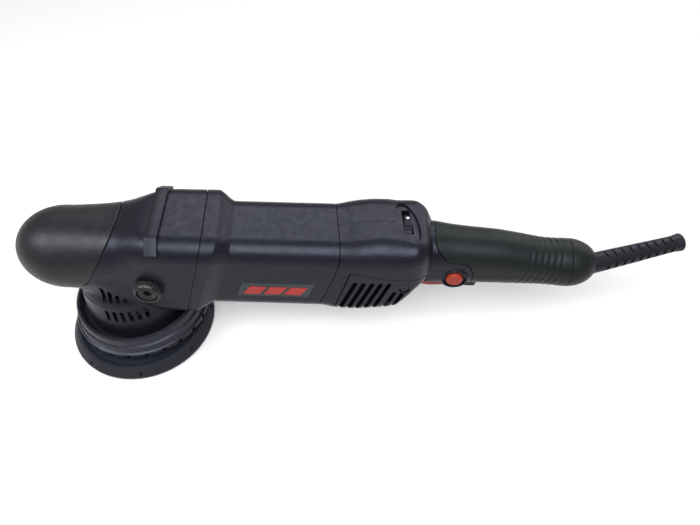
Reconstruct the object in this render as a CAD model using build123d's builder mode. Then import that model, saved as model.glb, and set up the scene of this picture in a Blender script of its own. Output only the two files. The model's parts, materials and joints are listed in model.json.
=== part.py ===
"""Dual action polisher: a long motor body, a round head over an orbiting pad, and a straight rear grip.

Millimetres. The origin is on the drive spindle's axis at the face of the pad plate.
+X runs back along the body towards the grip, +Z is up, and -Y is the operator's left side.
"""
from build123d import *
from math import atan, cos, hypot, pi, radians, sin
import os

os.makedirs("parts", exist_ok=True)

# ---------------------------------------------------------------- driving dimensions
axis_z = 91.5                 # height of the motor axis over the pad face
wall = 2.8                    # moulded housing wall

orbit_radius = 7.5            # half of the 15 mm throw
orbit_angle = -101.5          # where the orbit stands at rest, degrees from +X
orbit_x = orbit_radius * cos(radians(orbit_angle))
orbit_y = orbit_radius * sin(radians(orbit_angle))

# Housing outlines are rounded rectangles square to the motor axis.
# Each station is (x, half width, half height, corner radius, rise of its centre, lean).
# Lean is how far x grows for each millimetre of height.
dome_centre_x = -40.0
dome_length = 39.8
dome_radius = 33.2
dome_rise = 2.0
head_stations = [
    (dome_centre_x, dome_radius, dome_radius, 33.1, dome_rise, 0.0),
    (-20.0, 33.2, 34.0, 32.0, 2.0, 0.0),
    (0.0, 33.5, 35.4, 29.0, 1.5, 0.0),
    (12.0, 34.0, 37.2, 26.0, 1.2, 0.02),
    (22.0, 35.0, 40.2, 22.0, 0.8, 0.05),
    (31.0, 36.0, 42.7, 17.0, 0.3, 0.10),
    (45.0, 36.0, 43.0, 16.0, 0.0, 0.20),
    (64.0, 36.0, 43.0, 16.0, 0.0, 0.31),
]
motor_stations = [
    (64.0, 36.0, 43.0, 16.0, 0.0, 0.31),
    (75.0, 36.0, 43.0, 16.0, 0.0, 0.36),
    (87.0, 30.0, 36.5, 15.0, 0.0, 0.36),
    (172.0, 30.0, 36.5, 15.0, 0.0, 0.29),
]
rear_stations = [
    (172.0, 30.0, 36.5, 15.0, 0.0, 0.29),
    (190.0, 32.4, 39.0, 17.0, 0.5, 0.20),
    (208.0, 33.0, 39.5, 18.0, 2.5, 0.10),
    (222.0, 32.5, 37.0, 17.0, 4.0, 0.0),
    (230.0, 32.0, 31.0, 15.0, 9.5, 0.0),
    (238.0, 30.0, 24.0, 12.5, 15.5, 0.0),
    (243.5, 26.5, 20.0, 12.0, 17.0, 0.0),
    (248.0, 21.0, 16.0, 11.0, 14.5, 0.0),
]
handle_stations = [
    (232.0, 21.5, 26.5, 18.0, 7.5, 0.0),
    (250.0, 20.6, 25.4, 18.0, 7.0, 0.0),
    (265.0, 19.2, 24.0, 17.5, 6.3, 0.0),
    (280.0, 18.7, 23.0, 17.3, 5.6, 0.0),
    (300.0, 18.4, 22.0, 17.2, 4.6, 0.0),
    (320.0, 18.0, 20.4, 17.0, 2.4, 0.0),
    (340.0, 17.6, 18.9, 16.8, 0.2, 0.0),
    (357.0, 18.6, 19.2, 18.4, -0.8, 0.0),
]

# The front cap's outline on the side, as (x, z) points: its seam leans back up the housing
# and turns forwards under the nose.
cap_outline = [(-100.0, 150.0), (23.2, 150.0), (16.7, 140.0), (7.0, 125.0), (-2.8, 110.0),
               (-14.8, axis_z), (-20.4, 84.5), (-29.5, 80.2), (-39.0, 77.4), (-55.0, 75.4),
               (-75.0, 74.4), (-100.0, 73.9)]

# Bevel drive: both pitch cones meet where the motor axis crosses the spindle axis.
pinion_teeth = 10
crown_teeth = 38
cone_distance = 24.0
face_width = 8.0
tooth_addendum = 1.0
tooth_dedendum = 1.35
tooth_thickness = 1.55        # at the pitch cone, with backlash

shaft_radius = 5.5
journal_radius = 4.0
running_gap = 0.03


# ---------------------------------------------------------------- helpers
def leaning_plane(x, rise=0.0, lean=0.0):
    """A plane square to the motor axis, leaned back by lean; its y axis points up."""
    return Plane(origin=(x, 0, axis_z + rise), x_dir=(0, 1, 0), z_dir=(1, 0, -lean))


def side_plane(x=0.0, y=0.0, z=0.0):
    """An upright plane along the body through a point; its axes are +X and +Z, and it faces -Y."""
    return Plane(origin=(x, y, z), x_dir=(1, 0, 0), z_dir=(0, -1, 0))


def lofted(stations, inset=0.0):
    """The solid through the stations, with every outline moved in by inset."""
    with BuildPart() as body:
        for x, half_width, half_height, corner, rise, lean in stations:
            with BuildSketch(leaning_plane(x, rise, lean)):
                RectangleRounded(2 * (half_width - inset),
                                 2 * (half_height - inset) * hypot(1, lean),
                                 corner - inset)
        loft(ruled=True)
    return body.part


def half_ellipsoid(centre_x, rise, length, radius, forward):
    """A round nose about the motor direction; forward is -1 for a nose at low x."""
    with BuildPart() as nose:
        with BuildSketch(side_plane(centre_x, 0, axis_z + rise)):
            Ellipse(length, radius)
            with Locations((forward * length / 2, radius / 2)):
                Rectangle(length, radius, mode=Mode.INTERSECT)
        revolve(axis=Axis((centre_x, 0, axis_z + rise), (1, 0, 0)))
    return nose.part


def head_form(inset=0.0):
    """The front cap and gear housing as one closed form."""
    with BuildPart() as form:
        add(lofted(head_stations, inset))
        add(half_ellipsoid(dome_centre_x, dome_rise, dome_length - inset, dome_radius - inset, -1))
    return form.part


def ring_about(axis_x, axis_y, points):
    """A solid turned about a vertical axis from (radius, height) points."""
    with BuildPart() as ring:
        with BuildSketch(side_plane(axis_x, axis_y)):
            with BuildLine():
                Polyline(*points, close=True)
            make_face()
        revolve(axis=Axis((axis_x, axis_y, 0), (0, 0, 1)))
    return ring.part


def turned_on_motor_axis(points):
    """A solid turned about the motor axis from (x, radius) points."""
    with BuildPart() as turned:
        with BuildSketch(side_plane(0, 0, axis_z)):
            with BuildLine():
                Polyline(*points, close=True)
            make_face()
        revolve(axis=Axis((0, 0, axis_z), (1, 0, 0)))
    return turned.part


def side_prism(points, y_start, y_end, shrink=0.0):
    """A prism across the body from an outline of (x, z) points."""
    with BuildPart() as prism:
        with BuildSketch(side_plane(0, y_start)):
            with BuildLine():
                Polyline(*points, close=True)
            make_face()
            if shrink:
                offset(amount=-shrink)
        extrude(amount=y_start - y_end)
    return prism.part


def finish(piece, node):
    """Name a piece and write it."""
    piece.label = node
    export_step(piece, f"parts/{node}.step")


# ---------------------------------------------------------------- outer forms
head_outer = head_form()
head_inner = head_form(wall)
motor_outer = lofted(motor_stations)
motor_inner = lofted(motor_stations, wall)
rear_outer = lofted(rear_stations)
rear_inner = lofted(rear_stations, wall)
handle_outer = lofted(handle_stations)

# ---------------------------------------------------------------- front cap
with BuildPart() as cap_zone:
    add(head_outer)
    add(side_prism(cap_outline, -60, 60), mode=Mode.INTERSECT)
cap_form = cap_zone.part
with BuildPart() as head_cap:
    add(cap_form)
    add(head_inner, mode=Mode.SUBTRACT)
finish(head_cap.part, "head_cap")

# ---------------------------------------------------------------- gear housing with its flared neck
flare_top = 90.0
ledge_z = 64.5                # parting line between the gear housing and the neck ring
flare_top_radius = 31.0
flare_radius = 39.6
flare_mid = (33.6, 79.0)
flare_outline = [(0, flare_top), (flare_top_radius, flare_top), (32.0, 84.5), flare_mid,
                 (36.0, 73.0), (flare_radius, ledge_z), (0, ledge_z)]
flare_hollow = [(0, flare_top - 6), (28.0, flare_top - 6), (flare_mid[0] - wall, flare_mid[1]),
                (33.0, 73.0), (flare_radius - wall, ledge_z - 0.1), (flare_radius - wall, 44.0), (0, 44.0)]
neck_slot_width = 2.8
neck_slot_step = 8.8          # degrees between slots
neck_first_slot = -103.6
lower_slots = 6
upper_slot_tops = [84.0, 80.0, 76.0, 72.5]
bulkhead_x = 46.0
bulkhead_thickness = 3.0
bulkhead_hole = 21.0
flange_screw_radius = 25.0
side_boss_x = 31.5
side_boss_z = axis_z - 3.8
side_boss_radius = 11.5
side_thread_radius = 4.0
gear_side = 36.0              # half width of the gear housing's flat sides


def neck_slot_cutters(bottoms, tops):
    """Upright slots on both sides of the neck, one for each bottom and top."""
    with BuildPart() as cutters:
        for number, (bottom, top) in enumerate(zip(bottoms, tops)):
            for side in (1, -1):
                angle = side * (neck_first_slot + number * neck_slot_step)
                middle = Plane(origin=(0, 0, (bottom + top) / 2), x_dir=(0, 0, 1),
                               z_dir=(cos(radians(angle)), sin(radians(angle)), 0))
                with BuildSketch(middle.offset(30)):
                    SlotOverall(top - bottom, neck_slot_width)
                extrude(amount=20)
    return cutters.part


with BuildPart() as head_housing:
    add(head_outer)
    add(ring_about(0, 0, flare_outline))
    add(cap_form, mode=Mode.SUBTRACT)
    add(head_inner, mode=Mode.SUBTRACT)
    add(ring_about(0, 0, flare_hollow), mode=Mode.SUBTRACT)
    with BuildSketch(leaning_plane(bulkhead_x)):
        RectangleRounded(2 * (gear_side - 1), 2 * 42, 15)
        Circle(bulkhead_hole, mode=Mode.SUBTRACT)
        with PolarLocations(flange_screw_radius, 4, start_angle=45):
            Circle(2.0, mode=Mode.SUBTRACT)
    extrude(amount=bulkhead_thickness)
    for side in (1, -1):
        with BuildSketch(Plane(origin=(side_boss_x, side * 28, side_boss_z), z_dir=(0, side, 0))):
            Circle(9.0)
        extrude(amount=gear_side - 28.5)
        with BuildSketch(Plane(origin=(side_boss_x, side * 27, side_boss_z), z_dir=(0, side, 0))):
            Circle(side_thread_radius)
        extrude(amount=20, mode=Mode.SUBTRACT)
    add(neck_slot_cutters([68.5] * len(upper_slot_tops), upper_slot_tops), mode=Mode.SUBTRACT)
finish(head_housing.part, "head_housing")

# ---------------------------------------------------------------- neck ring
neck_bottom = 24.5
neck_base_radius = 44.6
neck_outline = [(flare_radius, ledge_z), (40.4, 60.0), (44.2, 36.0), (neck_base_radius, 30.0),
                (neck_base_radius, neck_bottom), (neck_base_radius - wall, neck_bottom),
                (44.2 - wall, 36.0), (flare_radius - wall, ledge_z)]
with BuildPart() as neck_ring:
    add(ring_about(0, 0, neck_outline))
    add(head_outer, mode=Mode.SUBTRACT)
    add(neck_slot_cutters([48.0] * lower_slots, [60.5] * lower_slots), mode=Mode.SUBTRACT)
finish(neck_ring.part, "neck_ring")

# ---------------------------------------------------------------- shroud ring round the neck
shroud_top = 36.5
shroud_bottom = 15.5
notch_count = 24
notch_width = 3.4
shroud_outline = [
    (neck_base_radius, 27.0), (49.0, 27.0), (49.6, 35.5), (50.4, shroud_top), (52.2, shroud_top),
    (53.2, 35.2), (53.8, 28.6), (55.2, 27.4), (55.9, 22.2), (55.3, 21.2), (57.4, 20.4),
    (57.8, 19.6), (57.4, shroud_bottom), (54.2, shroud_bottom), (53.2, 20.0), (51.0, 24.5),
    (neck_base_radius, 24.5)]
with BuildPart() as shroud_ring:
    add(ring_about(0, 0, shroud_outline))
    with BuildSketch(Plane.XY.offset(shroud_bottom - 1)):
        with PolarLocations(56.5, notch_count, start_angle=orbit_angle + 12.5):
            Rectangle(5.0, notch_width)
    extrude(amount=5.6, mode=Mode.SUBTRACT)
finish(shroud_ring.part, "shroud_ring")

# ---------------------------------------------------------------- rib across the gear housing
rib_front_x = 35.2
rib_width = 9.0
rib_height = 1.8
rib_low = axis_z + 35.8
with BuildPart() as top_rib:
    add(head_form(-rib_height))
    add(head_outer, mode=Mode.SUBTRACT)
    with BuildSketch(Plane(origin=(rib_front_x + rib_width / 2, 0, axis_z + 43), x_dir=(0, 1, 0),
                           z_dir=(1, 0, -0.1))):
        Rectangle(2 * 33.6, 2 * (axis_z + 43 - rib_low))
    extrude(amount=rib_width / 2, both=True, mode=Mode.INTERSECT)
finish(top_rib.part, "top_rib")

# ---------------------------------------------------------------- motor housing
badge_x = 128.5
badge_z = axis_z - 9.0
badge_length = 57.0
badge_height = 16.5
badge_slant = 6.5
badge_thickness = 1.2
barrel_side = 30.0            # half width of the motor barrel's flat sides


def badge_outline(grow=0.0):
    """The slanted plate outline as (x, z) points."""
    low = badge_z - badge_height / 2 - grow
    high = badge_z + badge_height / 2 + grow
    half = badge_length / 2 + grow
    return [(badge_x - half - badge_slant / 2, low), (badge_x + half - badge_slant / 2, low),
            (badge_x + half + badge_slant / 2, high), (badge_x - half + badge_slant / 2, high)]


with BuildPart() as motor_housing:
    add(motor_outer)
    add(motor_inner, mode=Mode.SUBTRACT)
    add(side_prism(badge_outline(0.2), -barrel_side - 1, -barrel_side + 1.0), mode=Mode.SUBTRACT)
finish(motor_housing.part, "motor_housing")

with BuildPart() as badge_plate:
    add(side_prism(badge_outline(), -barrel_side - badge_thickness + 1.0, -barrel_side + 1.0))
    chamfer(badge_plate.faces().sort_by(Axis.Y)[0].edges(), 0.3)
finish(badge_plate.part, "badge_plate")

# Three slanted bars stand on the badge as its plain decoration.
mark_bars = 3
mark_gap = 3.0
mark_length = 13.0
with BuildPart() as badge_mark:
    for bar in range(mark_bars):
        left = badge_x - (mark_bars * mark_length + (mark_bars - 1) * mark_gap) / 2
        start = left + bar * (mark_length + mark_gap)
        half = badge_height / 2 - 3.6
        rake = badge_slant / 2
        add(side_prism([(start - rake, badge_z - half), (start + mark_length - rake, badge_z - half),
                        (start + mark_length + rake, badge_z + half), (start + rake, badge_z + half)],
                       -barrel_side - badge_thickness + 0.6, -barrel_side - badge_thickness + 1.0))
finish(badge_mark.part, "badge_mark")

# ---------------------------------------------------------------- rear housing in left and right halves
rubber = 3.0                  # thickness of the grip's rubber
core_wall = 2.6
core_end = 362.0
cover_thickness = 2.0
cover_gap = 0.15
cover_split_y = 6.0           # the vent covers stop this far from the middle plane
cover_outline = [(187.0, 107.5), (236.0, 99.5), (246.0, 99.5), (246.0, 46.0), (169.0, 46.0)]
collar_outline = [(225.0, 140.0), (250.0, 140.0), (250.0, 122.0), (256.5, 113.0), (262.0, 108.0),
                  (272.0, 107.0), (278.0, 103.0), (280.5, 96.0), (282.5, 60.0), (225.0, 60.0)]
dial_x = 229.0
dial_radius = 15.0
dial_width = 5.4
dial_z = axis_z + 26.4
dial_window = (6.4, 24.0)
dial_window_y = 2.0
bezel_size = (17.0, 40.0)
bezel_rim = 1.2
bezel_height = 0.7
button_x = 267.5
button_z = 90.0
button_radius = 6.5
button_recess_radius = 9.0
button_recess_y = 17.6        # floor of the recess round the lock button
trigger_front = 238.0
trigger_rear = 269.0
trigger_half_width = 9.2
trigger_top = 76.5
trigger_bottom = 67.8
pivot_x = 264.5
pivot_z = 73.6
pivot_radius = 1.5
foot_rear = 287.0
foot_bottom = 68.8
rear_screw_radius = 2.0
rear_screw_head = 3.6
rear_screw_places = [(187.0, 118.0), (168.5, 61.0), (203.0, 123.0)]

handle_core_outer = lofted(handle_stations, rubber)
handle_core_inner = lofted(handle_stations, rubber + core_wall)
collar_zone = side_prism(collar_outline, -40, 40)

with BuildPart() as handle_tail:
    with BuildSketch(leaning_plane(handle_stations[-1][0], handle_stations[-1][4])):
        Circle(handle_stations[-1][1] - rubber)
        Circle(handle_stations[-1][1] - rubber - core_wall, mode=Mode.SUBTRACT)
    extrude(amount=core_end - handle_stations[-1][0])

with BuildPart() as rear_shell:
    add(handle_outer)
    add(collar_zone, mode=Mode.INTERSECT)
    add(handle_core_outer)
    add(rear_outer)
    with BuildSketch(Plane.XY.offset(foot_bottom)):
        with Locations(((trigger_rear + 0.5 + foot_rear) / 2, 0)):
            RectangleRounded(foot_rear - trigger_rear - 0.5, 2 * trigger_half_width + 1, 2.5)
    extrude(amount=9)
    add(rear_inner, mode=Mode.SUBTRACT)
    add(handle_core_inner, mode=Mode.SUBTRACT)
    add(handle_tail.part)
    # the trigger's slot in the underside
    with BuildSketch(Plane.XY.offset(60)):
        with Locations(((trigger_front - 1.5 + trigger_rear + 0.5) / 2, 0)):
            Rectangle(trigger_rear - trigger_front + 2, 2 * trigger_half_width + 1)
    extrude(amount=24, mode=Mode.SUBTRACT)
    # the dial's window in the top
    with BuildSketch(Plane.XY.offset(dial_z)):
        with Locations((dial_x, dial_window_y)):
            Rectangle(*dial_window)
    extrude(amount=40, mode=Mode.SUBTRACT)
    # the lock button's recess and hole in the left side
    with BuildSketch(Plane(origin=(button_x, -button_recess_y, button_z), z_dir=(0, -1, 0))):
        Circle(button_recess_radius)
    extrude(amount=20, mode=Mode.SUBTRACT)
    with BuildSketch(Plane(origin=(button_x, -8, button_z), z_dir=(0, -1, 0))):
        Circle(button_radius + 0.05)
    extrude(amount=30, mode=Mode.SUBTRACT)
    # openings behind the vent covers
    for side in (1, -1):
        add(side_prism(cover_outline, side * cover_split_y, side * 50), mode=Mode.SUBTRACT)
    # the pivot pin's bore
    with BuildSketch(Plane(origin=(pivot_x, 0, pivot_z), z_dir=(0, 1, 0))):
        Circle(pivot_radius)
    extrude(amount=11, both=True, mode=Mode.SUBTRACT)


def screw_pillars(side):
    """Round pillars from the middle plane to the side wall."""
    with BuildPart() as pillars:
        for x, z in rear_screw_places:
            with BuildSketch(Plane(origin=(x, 0, z), z_dir=(0, side, 0))):
                Circle(rear_screw_head + 1.0)
        extrude(amount=32)
        add(rear_outer, mode=Mode.INTERSECT)
    return pillars.part


for side, node in ((-1, "rear_housing_left"), (1, "rear_housing_right")):
    half_plane = Plane.XZ if side < 0 else -Plane.XZ
    with BuildPart() as rear_half:
        add(split(rear_shell.part, bisect_by=half_plane, keep=Keep.TOP))
        # pillars that the clamshell screws pull together
        add(screw_pillars(side))
        for x, z in rear_screw_places:
            with BuildSketch(Plane(origin=(x, 0, z), z_dir=(0, side, 0))):
                Circle(rear_screw_radius)
            extrude(amount=60 if side > 0 else 16, mode=Mode.SUBTRACT)
            if side > 0:
                with BuildSketch(Plane(origin=(x, 17, z), z_dir=(0, 1, 0))):
                    Circle(rear_screw_head)
                extrude(amount=30, mode=Mode.SUBTRACT)
    finish(rear_half.part, node)

with BuildPart() as rear_screws:
    for x, z in rear_screw_places:
        with BuildSketch(Plane(origin=(x, -14, z), z_dir=(0, 1, 0))):
            Circle(rear_screw_radius)
        extrude(amount=31)
        with BuildSketch(Plane(origin=(x, 17, z), z_dir=(0, 1, 0))):
            Circle(rear_screw_head - 0.2)
        extrude(amount=3)
        with BuildSketch(Plane(origin=(x, 18.2, z), z_dir=(0, 1, 0))):
            RegularPolygon(1.7, 6)
        extrude(amount=3, mode=Mode.SUBTRACT)
finish(rear_screws.part, "rear_housing_screws")

# ---------------------------------------------------------------- vent covers
slot_count = 7
slot_pitch = 6.4
first_slot_x = 183.8          # middle of the first slot
slot_middle_z = 75.0
slot_length = 41.0
slot_lean = 20.0              # degrees from upright
slot_width = 3.5
short_slots = 2               # the rearmost slots start lower down
short_slot_length = 31.0
cover_screw_x = 228.5
cover_screw_z = 90.5
cover_screw_radius = 2.4


def vent_cover(side):
    """The slotted cover in the lower side of the rear housing."""
    with BuildPart() as cover:
        add(side_prism(cover_outline, side * (cover_split_y + cover_gap), side * 50, cover_gap))
        add(rear_outer, mode=Mode.INTERSECT)
        add(lofted(rear_stations, cover_thickness), mode=Mode.SUBTRACT)
        for number in range(slot_count):
            short = number >= slot_count - short_slots
            length = short_slot_length if short else slot_length
            drop = (slot_length - length) / 2
            place = Plane(origin=(first_slot_x + number * slot_pitch, side * 19, slot_middle_z - drop),
                          x_dir=(0, 0, 1), z_dir=(0, side, 0))
            with BuildSketch(place):
                SlotOverall(length, slot_width, rotation=-side * slot_lean)
            extrude(amount=25, mode=Mode.SUBTRACT)
        with BuildSketch(Plane(origin=(cover_screw_x, 0, cover_screw_z), z_dir=(0, side, 0))):
            Circle(cover_screw_radius)
        extrude(amount=60, mode=Mode.SUBTRACT)
    return cover.part


for side, name in ((-1, "left"), (1, "right")):
    finish(vent_cover(side), f"vent_cover_{name}")

cover_screw_y = 29.0
with BuildPart() as cover_screws:
    for side in (-1, 1):
        with BuildSketch(Plane(origin=(cover_screw_x, side * (cover_screw_y - 9), cover_screw_z),
                               z_dir=(0, side, 0))):
            Circle(cover_screw_radius)
        extrude(amount=10.6)
        with BuildSketch(Plane(origin=(cover_screw_x, side * (cover_screw_y + 0.6), cover_screw_z),
                               z_dir=(0, side, 0))):
            Rectangle(3.0, 0.8)
            Rectangle(0.8, 3.0)
        extrude(amount=2, mode=Mode.SUBTRACT)
finish(cover_screws.part, "vent_cover_screws")

# ---------------------------------------------------------------- rubber grip and end cap
grip_end = 356.5
cap_radius = 19.0
cap_nose = 23.0
cap_rise = handle_stations[-1][4]
cap_wall = 3.0
sleeve_turn = 18.0            # the cable sleeve bends off towards +Y, degrees
sleeve_start = (372.0, -2.7, axis_z)
sleeve_along = (cos(radians(sleeve_turn)), sin(radians(sleeve_turn)), 0)
sleeve_root_radius = 8.1
sleeve_tip_radius = 6.6
sleeve_lip = 0.8
sleeve_length = 83.5
cord_radius = 4.2


def sleeve_plane(along):
    """A plane square to the cable sleeve at a distance along it."""
    origin = tuple(start + along * step for start, step in zip(sleeve_start, sleeve_along))
    return Plane(origin=origin, x_dir=(0, 0, 1), z_dir=sleeve_along)


with BuildPart() as handle_grip:
    add(handle_outer)
    add(handle_core_outer, mode=Mode.SUBTRACT)
    add(collar_zone, mode=Mode.SUBTRACT)
    with BuildSketch(Plane.YZ.offset(grip_end)):
        Rectangle(200, 400)
    extrude(amount=40, mode=Mode.SUBTRACT)
    with BuildSketch(Plane.XY.offset(foot_bottom - 2)):
        with Locations(((trigger_rear + foot_rear) / 2, 0)):
            Rectangle(foot_rear - trigger_rear + 1.2, 2 * trigger_half_width + 1.4)
    extrude(amount=12, mode=Mode.SUBTRACT)
finish(handle_grip.part, "handle_grip")

with BuildPart() as grip_end_cap:
    add(half_ellipsoid(357.0, cap_rise, cap_nose, cap_radius, 1))
    add(half_ellipsoid(357.0, cap_rise, cap_nose - cap_wall, cap_radius - cap_wall, 1), mode=Mode.SUBTRACT)
    with BuildSketch(sleeve_plane(-30)):
        Circle(sleeve_root_radius)
    extrude(amount=60, mode=Mode.SUBTRACT)
    with BuildSketch(leaning_plane(340, cap_rise)):
        Circle(handle_stations[-1][1] - rubber)
    extrude(amount=core_end - 340, mode=Mode.SUBTRACT)
finish(grip_end_cap.part, "grip_end_cap")

sleeve_slots = 9
sleeve_slot_pitch = 7.3
sleeve_slot_width = 2.6
sleeve_slot_depth = 1.3
first_sleeve_slot = 13.0
sleeve_taper = (sleeve_root_radius - sleeve_tip_radius) / (sleeve_length - 15)
with BuildPart() as cable_sleeve:
    with BuildSketch(sleeve_plane(0)):
        Circle(sleeve_root_radius)
    with BuildSketch(sleeve_plane(8)):
        Circle(sleeve_root_radius)
    with BuildSketch(sleeve_plane(sleeve_length - 7)):
        Circle(sleeve_tip_radius)
    with BuildSketch(sleeve_plane(sleeve_length)):
        Circle(sleeve_tip_radius + sleeve_lip)
    loft(ruled=True)
    with BuildSketch(sleeve_plane(-1)):
        Circle(cord_radius)
    extrude(amount=sleeve_length + 2, mode=Mode.SUBTRACT)
    for number in range(sleeve_slots):
        along = first_sleeve_slot + number * sleeve_slot_pitch
        reach = sleeve_root_radius - sleeve_taper * (along - 8) - sleeve_slot_depth
        with BuildSketch(sleeve_plane(along)):
            for turn in (0, 90, 180, 270):
                with Locations(Rotation(0, 0, turn)):
                    with Locations((reach + 4, 0)):
                        Rectangle(8, 7.4)
        extrude(amount=sleeve_slot_width, mode=Mode.SUBTRACT)
finish(cable_sleeve.part, "cable_sleeve")

# ---------------------------------------------------------------- controls
with BuildPart() as speed_dial:
    with BuildSketch(Plane(origin=(dial_x - dial_width / 2, 0, dial_z), z_dir=(1, 0, 0))):
        Circle(dial_radius)
        with PolarLocations(dial_radius, 40):
            Circle(0.55, mode=Mode.SUBTRACT)
    extrude(amount=dial_width)
    with BuildSketch(Plane(origin=(dial_x - dial_width / 2, 0, dial_z), z_dir=(-1, 0, 0))):
        Circle(3.0)
    extrude(amount=9.0)
finish(speed_dial.part, "speed_dial")

with BuildPart() as dial_bezel:
    add(lofted(rear_stations, -bezel_height))
    add(rear_outer, mode=Mode.SUBTRACT)
    with BuildSketch(Plane.XY.offset(axis_z + 20)):
        with Locations((dial_x, 0)):
            Ellipse(bezel_size[0] / 2 + bezel_rim, bezel_size[1] / 2 + bezel_rim)
            Ellipse(bezel_size[0] / 2, bezel_size[1] / 2, mode=Mode.SUBTRACT)
    extrude(amount=40, mode=Mode.INTERSECT)
finish(dial_bezel.part, "dial_bezel")

pot_length = 12.0
with BuildPart() as speed_potentiometer:
    with BuildSketch(Plane(origin=(dial_x - dial_width / 2 - 1.2, 0, dial_z), z_dir=(-1, 0, 0))):
        RectangleRounded(15, 15, 2)
        Circle(3.05, mode=Mode.SUBTRACT)
    extrude(amount=pot_length)
finish(speed_potentiometer.part, "speed_potentiometer")

board_top = dial_z - 7.5
with BuildPart() as speed_control_board:
    with BuildSketch(Plane.XY.offset(board_top)):
        with Locations((dial_x - dial_width / 2 - 19, 0)):
            RectangleRounded(36, 34, 1.5)
    extrude(amount=-1.6)
    with BuildSketch(Plane.XY.offset(board_top - 1.6)):
        with Locations((dial_x - dial_width / 2 - 26, -8), (dial_x - dial_width / 2 - 14, 9)):
            RectangleRounded(11, 11, 1)
    extrude(amount=-9)
finish(speed_control_board.part, "speed_control_board")

button_face_y = 21.4
with BuildPart() as lock_button:
    with BuildSketch(Plane(origin=(button_x, -15.0, button_z), z_dir=(0, -1, 0))):
        Circle(button_radius)
    extrude(amount=button_face_y - 15.0)
    fillet(lock_button.faces().sort_by(Axis.Y)[0].edges(), 1.6)
    with BuildSketch(Plane(origin=(button_x, -12.5, button_z), z_dir=(0, -1, 0))):
        Circle(2.2)
    extrude(amount=3)
finish(lock_button.part, "lock_button")


def coil_spring(node, plane, length, radius, wire, turns):
    """A compression spring along a plane's normal."""
    with BuildPart() as spring:
        with BuildLine():
            coil = Helix(pitch=(length - 2 * wire) / turns, height=length - 2 * wire, radius=radius,
                         center=plane.origin, direction=plane.z_dir)
        with BuildSketch(Plane(origin=coil @ 0, z_dir=coil % 0)):
            Circle(wire)
        sweep(path=coil)
    finish(spring.part, node)


switch_low = 84.0
switch_face_y = 8.5
coil_spring("lock_button_spring", Plane(origin=(button_x, -14.3, button_z), z_dir=(0, 1, 0)),
            14.3 - switch_face_y + 0.3, 3.8, 0.35, 4)

with BuildPart() as switch_module:
    with BuildSketch(Plane.XY.offset(switch_low)):
        with Locations((274.5, 0)):
            RectangleRounded(53, 2 * switch_face_y, 2)
    extrude(amount=22)
finish(switch_module.part, "switch_module")

with BuildPart() as trigger:
    with BuildSketch(side_plane()):
        with BuildLine():
            Polyline((trigger_front, 74.6), (trigger_front + 2, trigger_top), (trigger_rear - 1, trigger_top),
                     (trigger_rear - 1, 71.0), (trigger_rear - 4, 69.6), (258.0, 68.2),
                     (250.0, trigger_bottom), (243.0, 69.0), (trigger_front, 71.6), close=True)
        make_face()
    extrude(amount=trigger_half_width, both=True)
    with BuildSketch(Plane(origin=(pivot_x, 0, pivot_z), z_dir=(0, 1, 0))):
        Circle(pivot_radius + 0.05)
    extrude(amount=20, both=True, mode=Mode.SUBTRACT)
finish(trigger.part, "trigger")

with BuildPart() as trigger_pin:
    with BuildSketch(Plane(origin=(pivot_x, 0, pivot_z), z_dir=(0, 1, 0))):
        Circle(pivot_radius)
    extrude(amount=11, both=True)
finish(trigger_pin.part, "trigger_pin")

coil_spring("trigger_spring", Plane(origin=(251.5, 0, trigger_top + 0.4), z_dir=(0, 0, 1)),
            switch_low - trigger_top - 0.1, 2.8, 0.35, 4)

# ---------------------------------------------------------------- side handle bolts
bolt_face = 44.6
bolt_rim = 1.4                # height of the raised rim on the head
bolt_rim_inner = 8.0
bolt_hex = 3.4                # corner radius of the hexagon socket
bolt_hex_depth = 6.0
knurls = 32
knurl_radius = 0.45
for side, name in ((-1, "left"), (1, "right")):
    with BuildPart() as side_bolt:
        with BuildSketch(Plane(origin=(side_boss_x, side * gear_side, side_boss_z), z_dir=(0, side, 0))):
            Circle(side_boss_radius)
            with PolarLocations(side_boss_radius, knurls):
                Circle(knurl_radius, mode=Mode.SUBTRACT)
        extrude(amount=bolt_face - gear_side - bolt_rim)
        step = Plane(origin=(side_boss_x, side * (bolt_face - bolt_rim), side_boss_z), z_dir=(0, side, 0))
        with BuildSketch(step):
            Circle(side_boss_radius - 0.5)
            Circle(bolt_rim_inner, mode=Mode.SUBTRACT)
        extrude(amount=bolt_rim)
        with BuildSketch(step):
            RegularPolygon(bolt_hex, 6)
        extrude(amount=-bolt_hex_depth, mode=Mode.SUBTRACT)
        with BuildSketch(Plane(origin=(side_boss_x, side * 28, side_boss_z), z_dir=(0, side, 0))):
            Circle(side_thread_radius)
        extrude(amount=gear_side - 28)
    finish(side_bolt.part, f"side_bolt_{name}")

# ---------------------------------------------------------------- gearcase
case_radius = 27.4
case_hollow = 24.8
case_floor = 54.0
case_top = 108.0
tunnel_radius = 14.0
tunnel_bore = 9.5
tunnel_end = 46.0
flange_radius = 28.0
flange_thickness = 4.0
bearing_outer = 11.0          # 608 size: 22 mm across, 8 mm bore, 7 mm wide
bearing_width = 7.0
front_bearing_x = 38.0
upper_bearing_z = 96.5
lower_bearing_z = 56.0        # 6001 size: 28 mm across, 12 mm bore, 8 mm wide
lower_bearing_outer = 14.0
lower_bearing_width = 8.0
spindle_radius = 6.0

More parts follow.
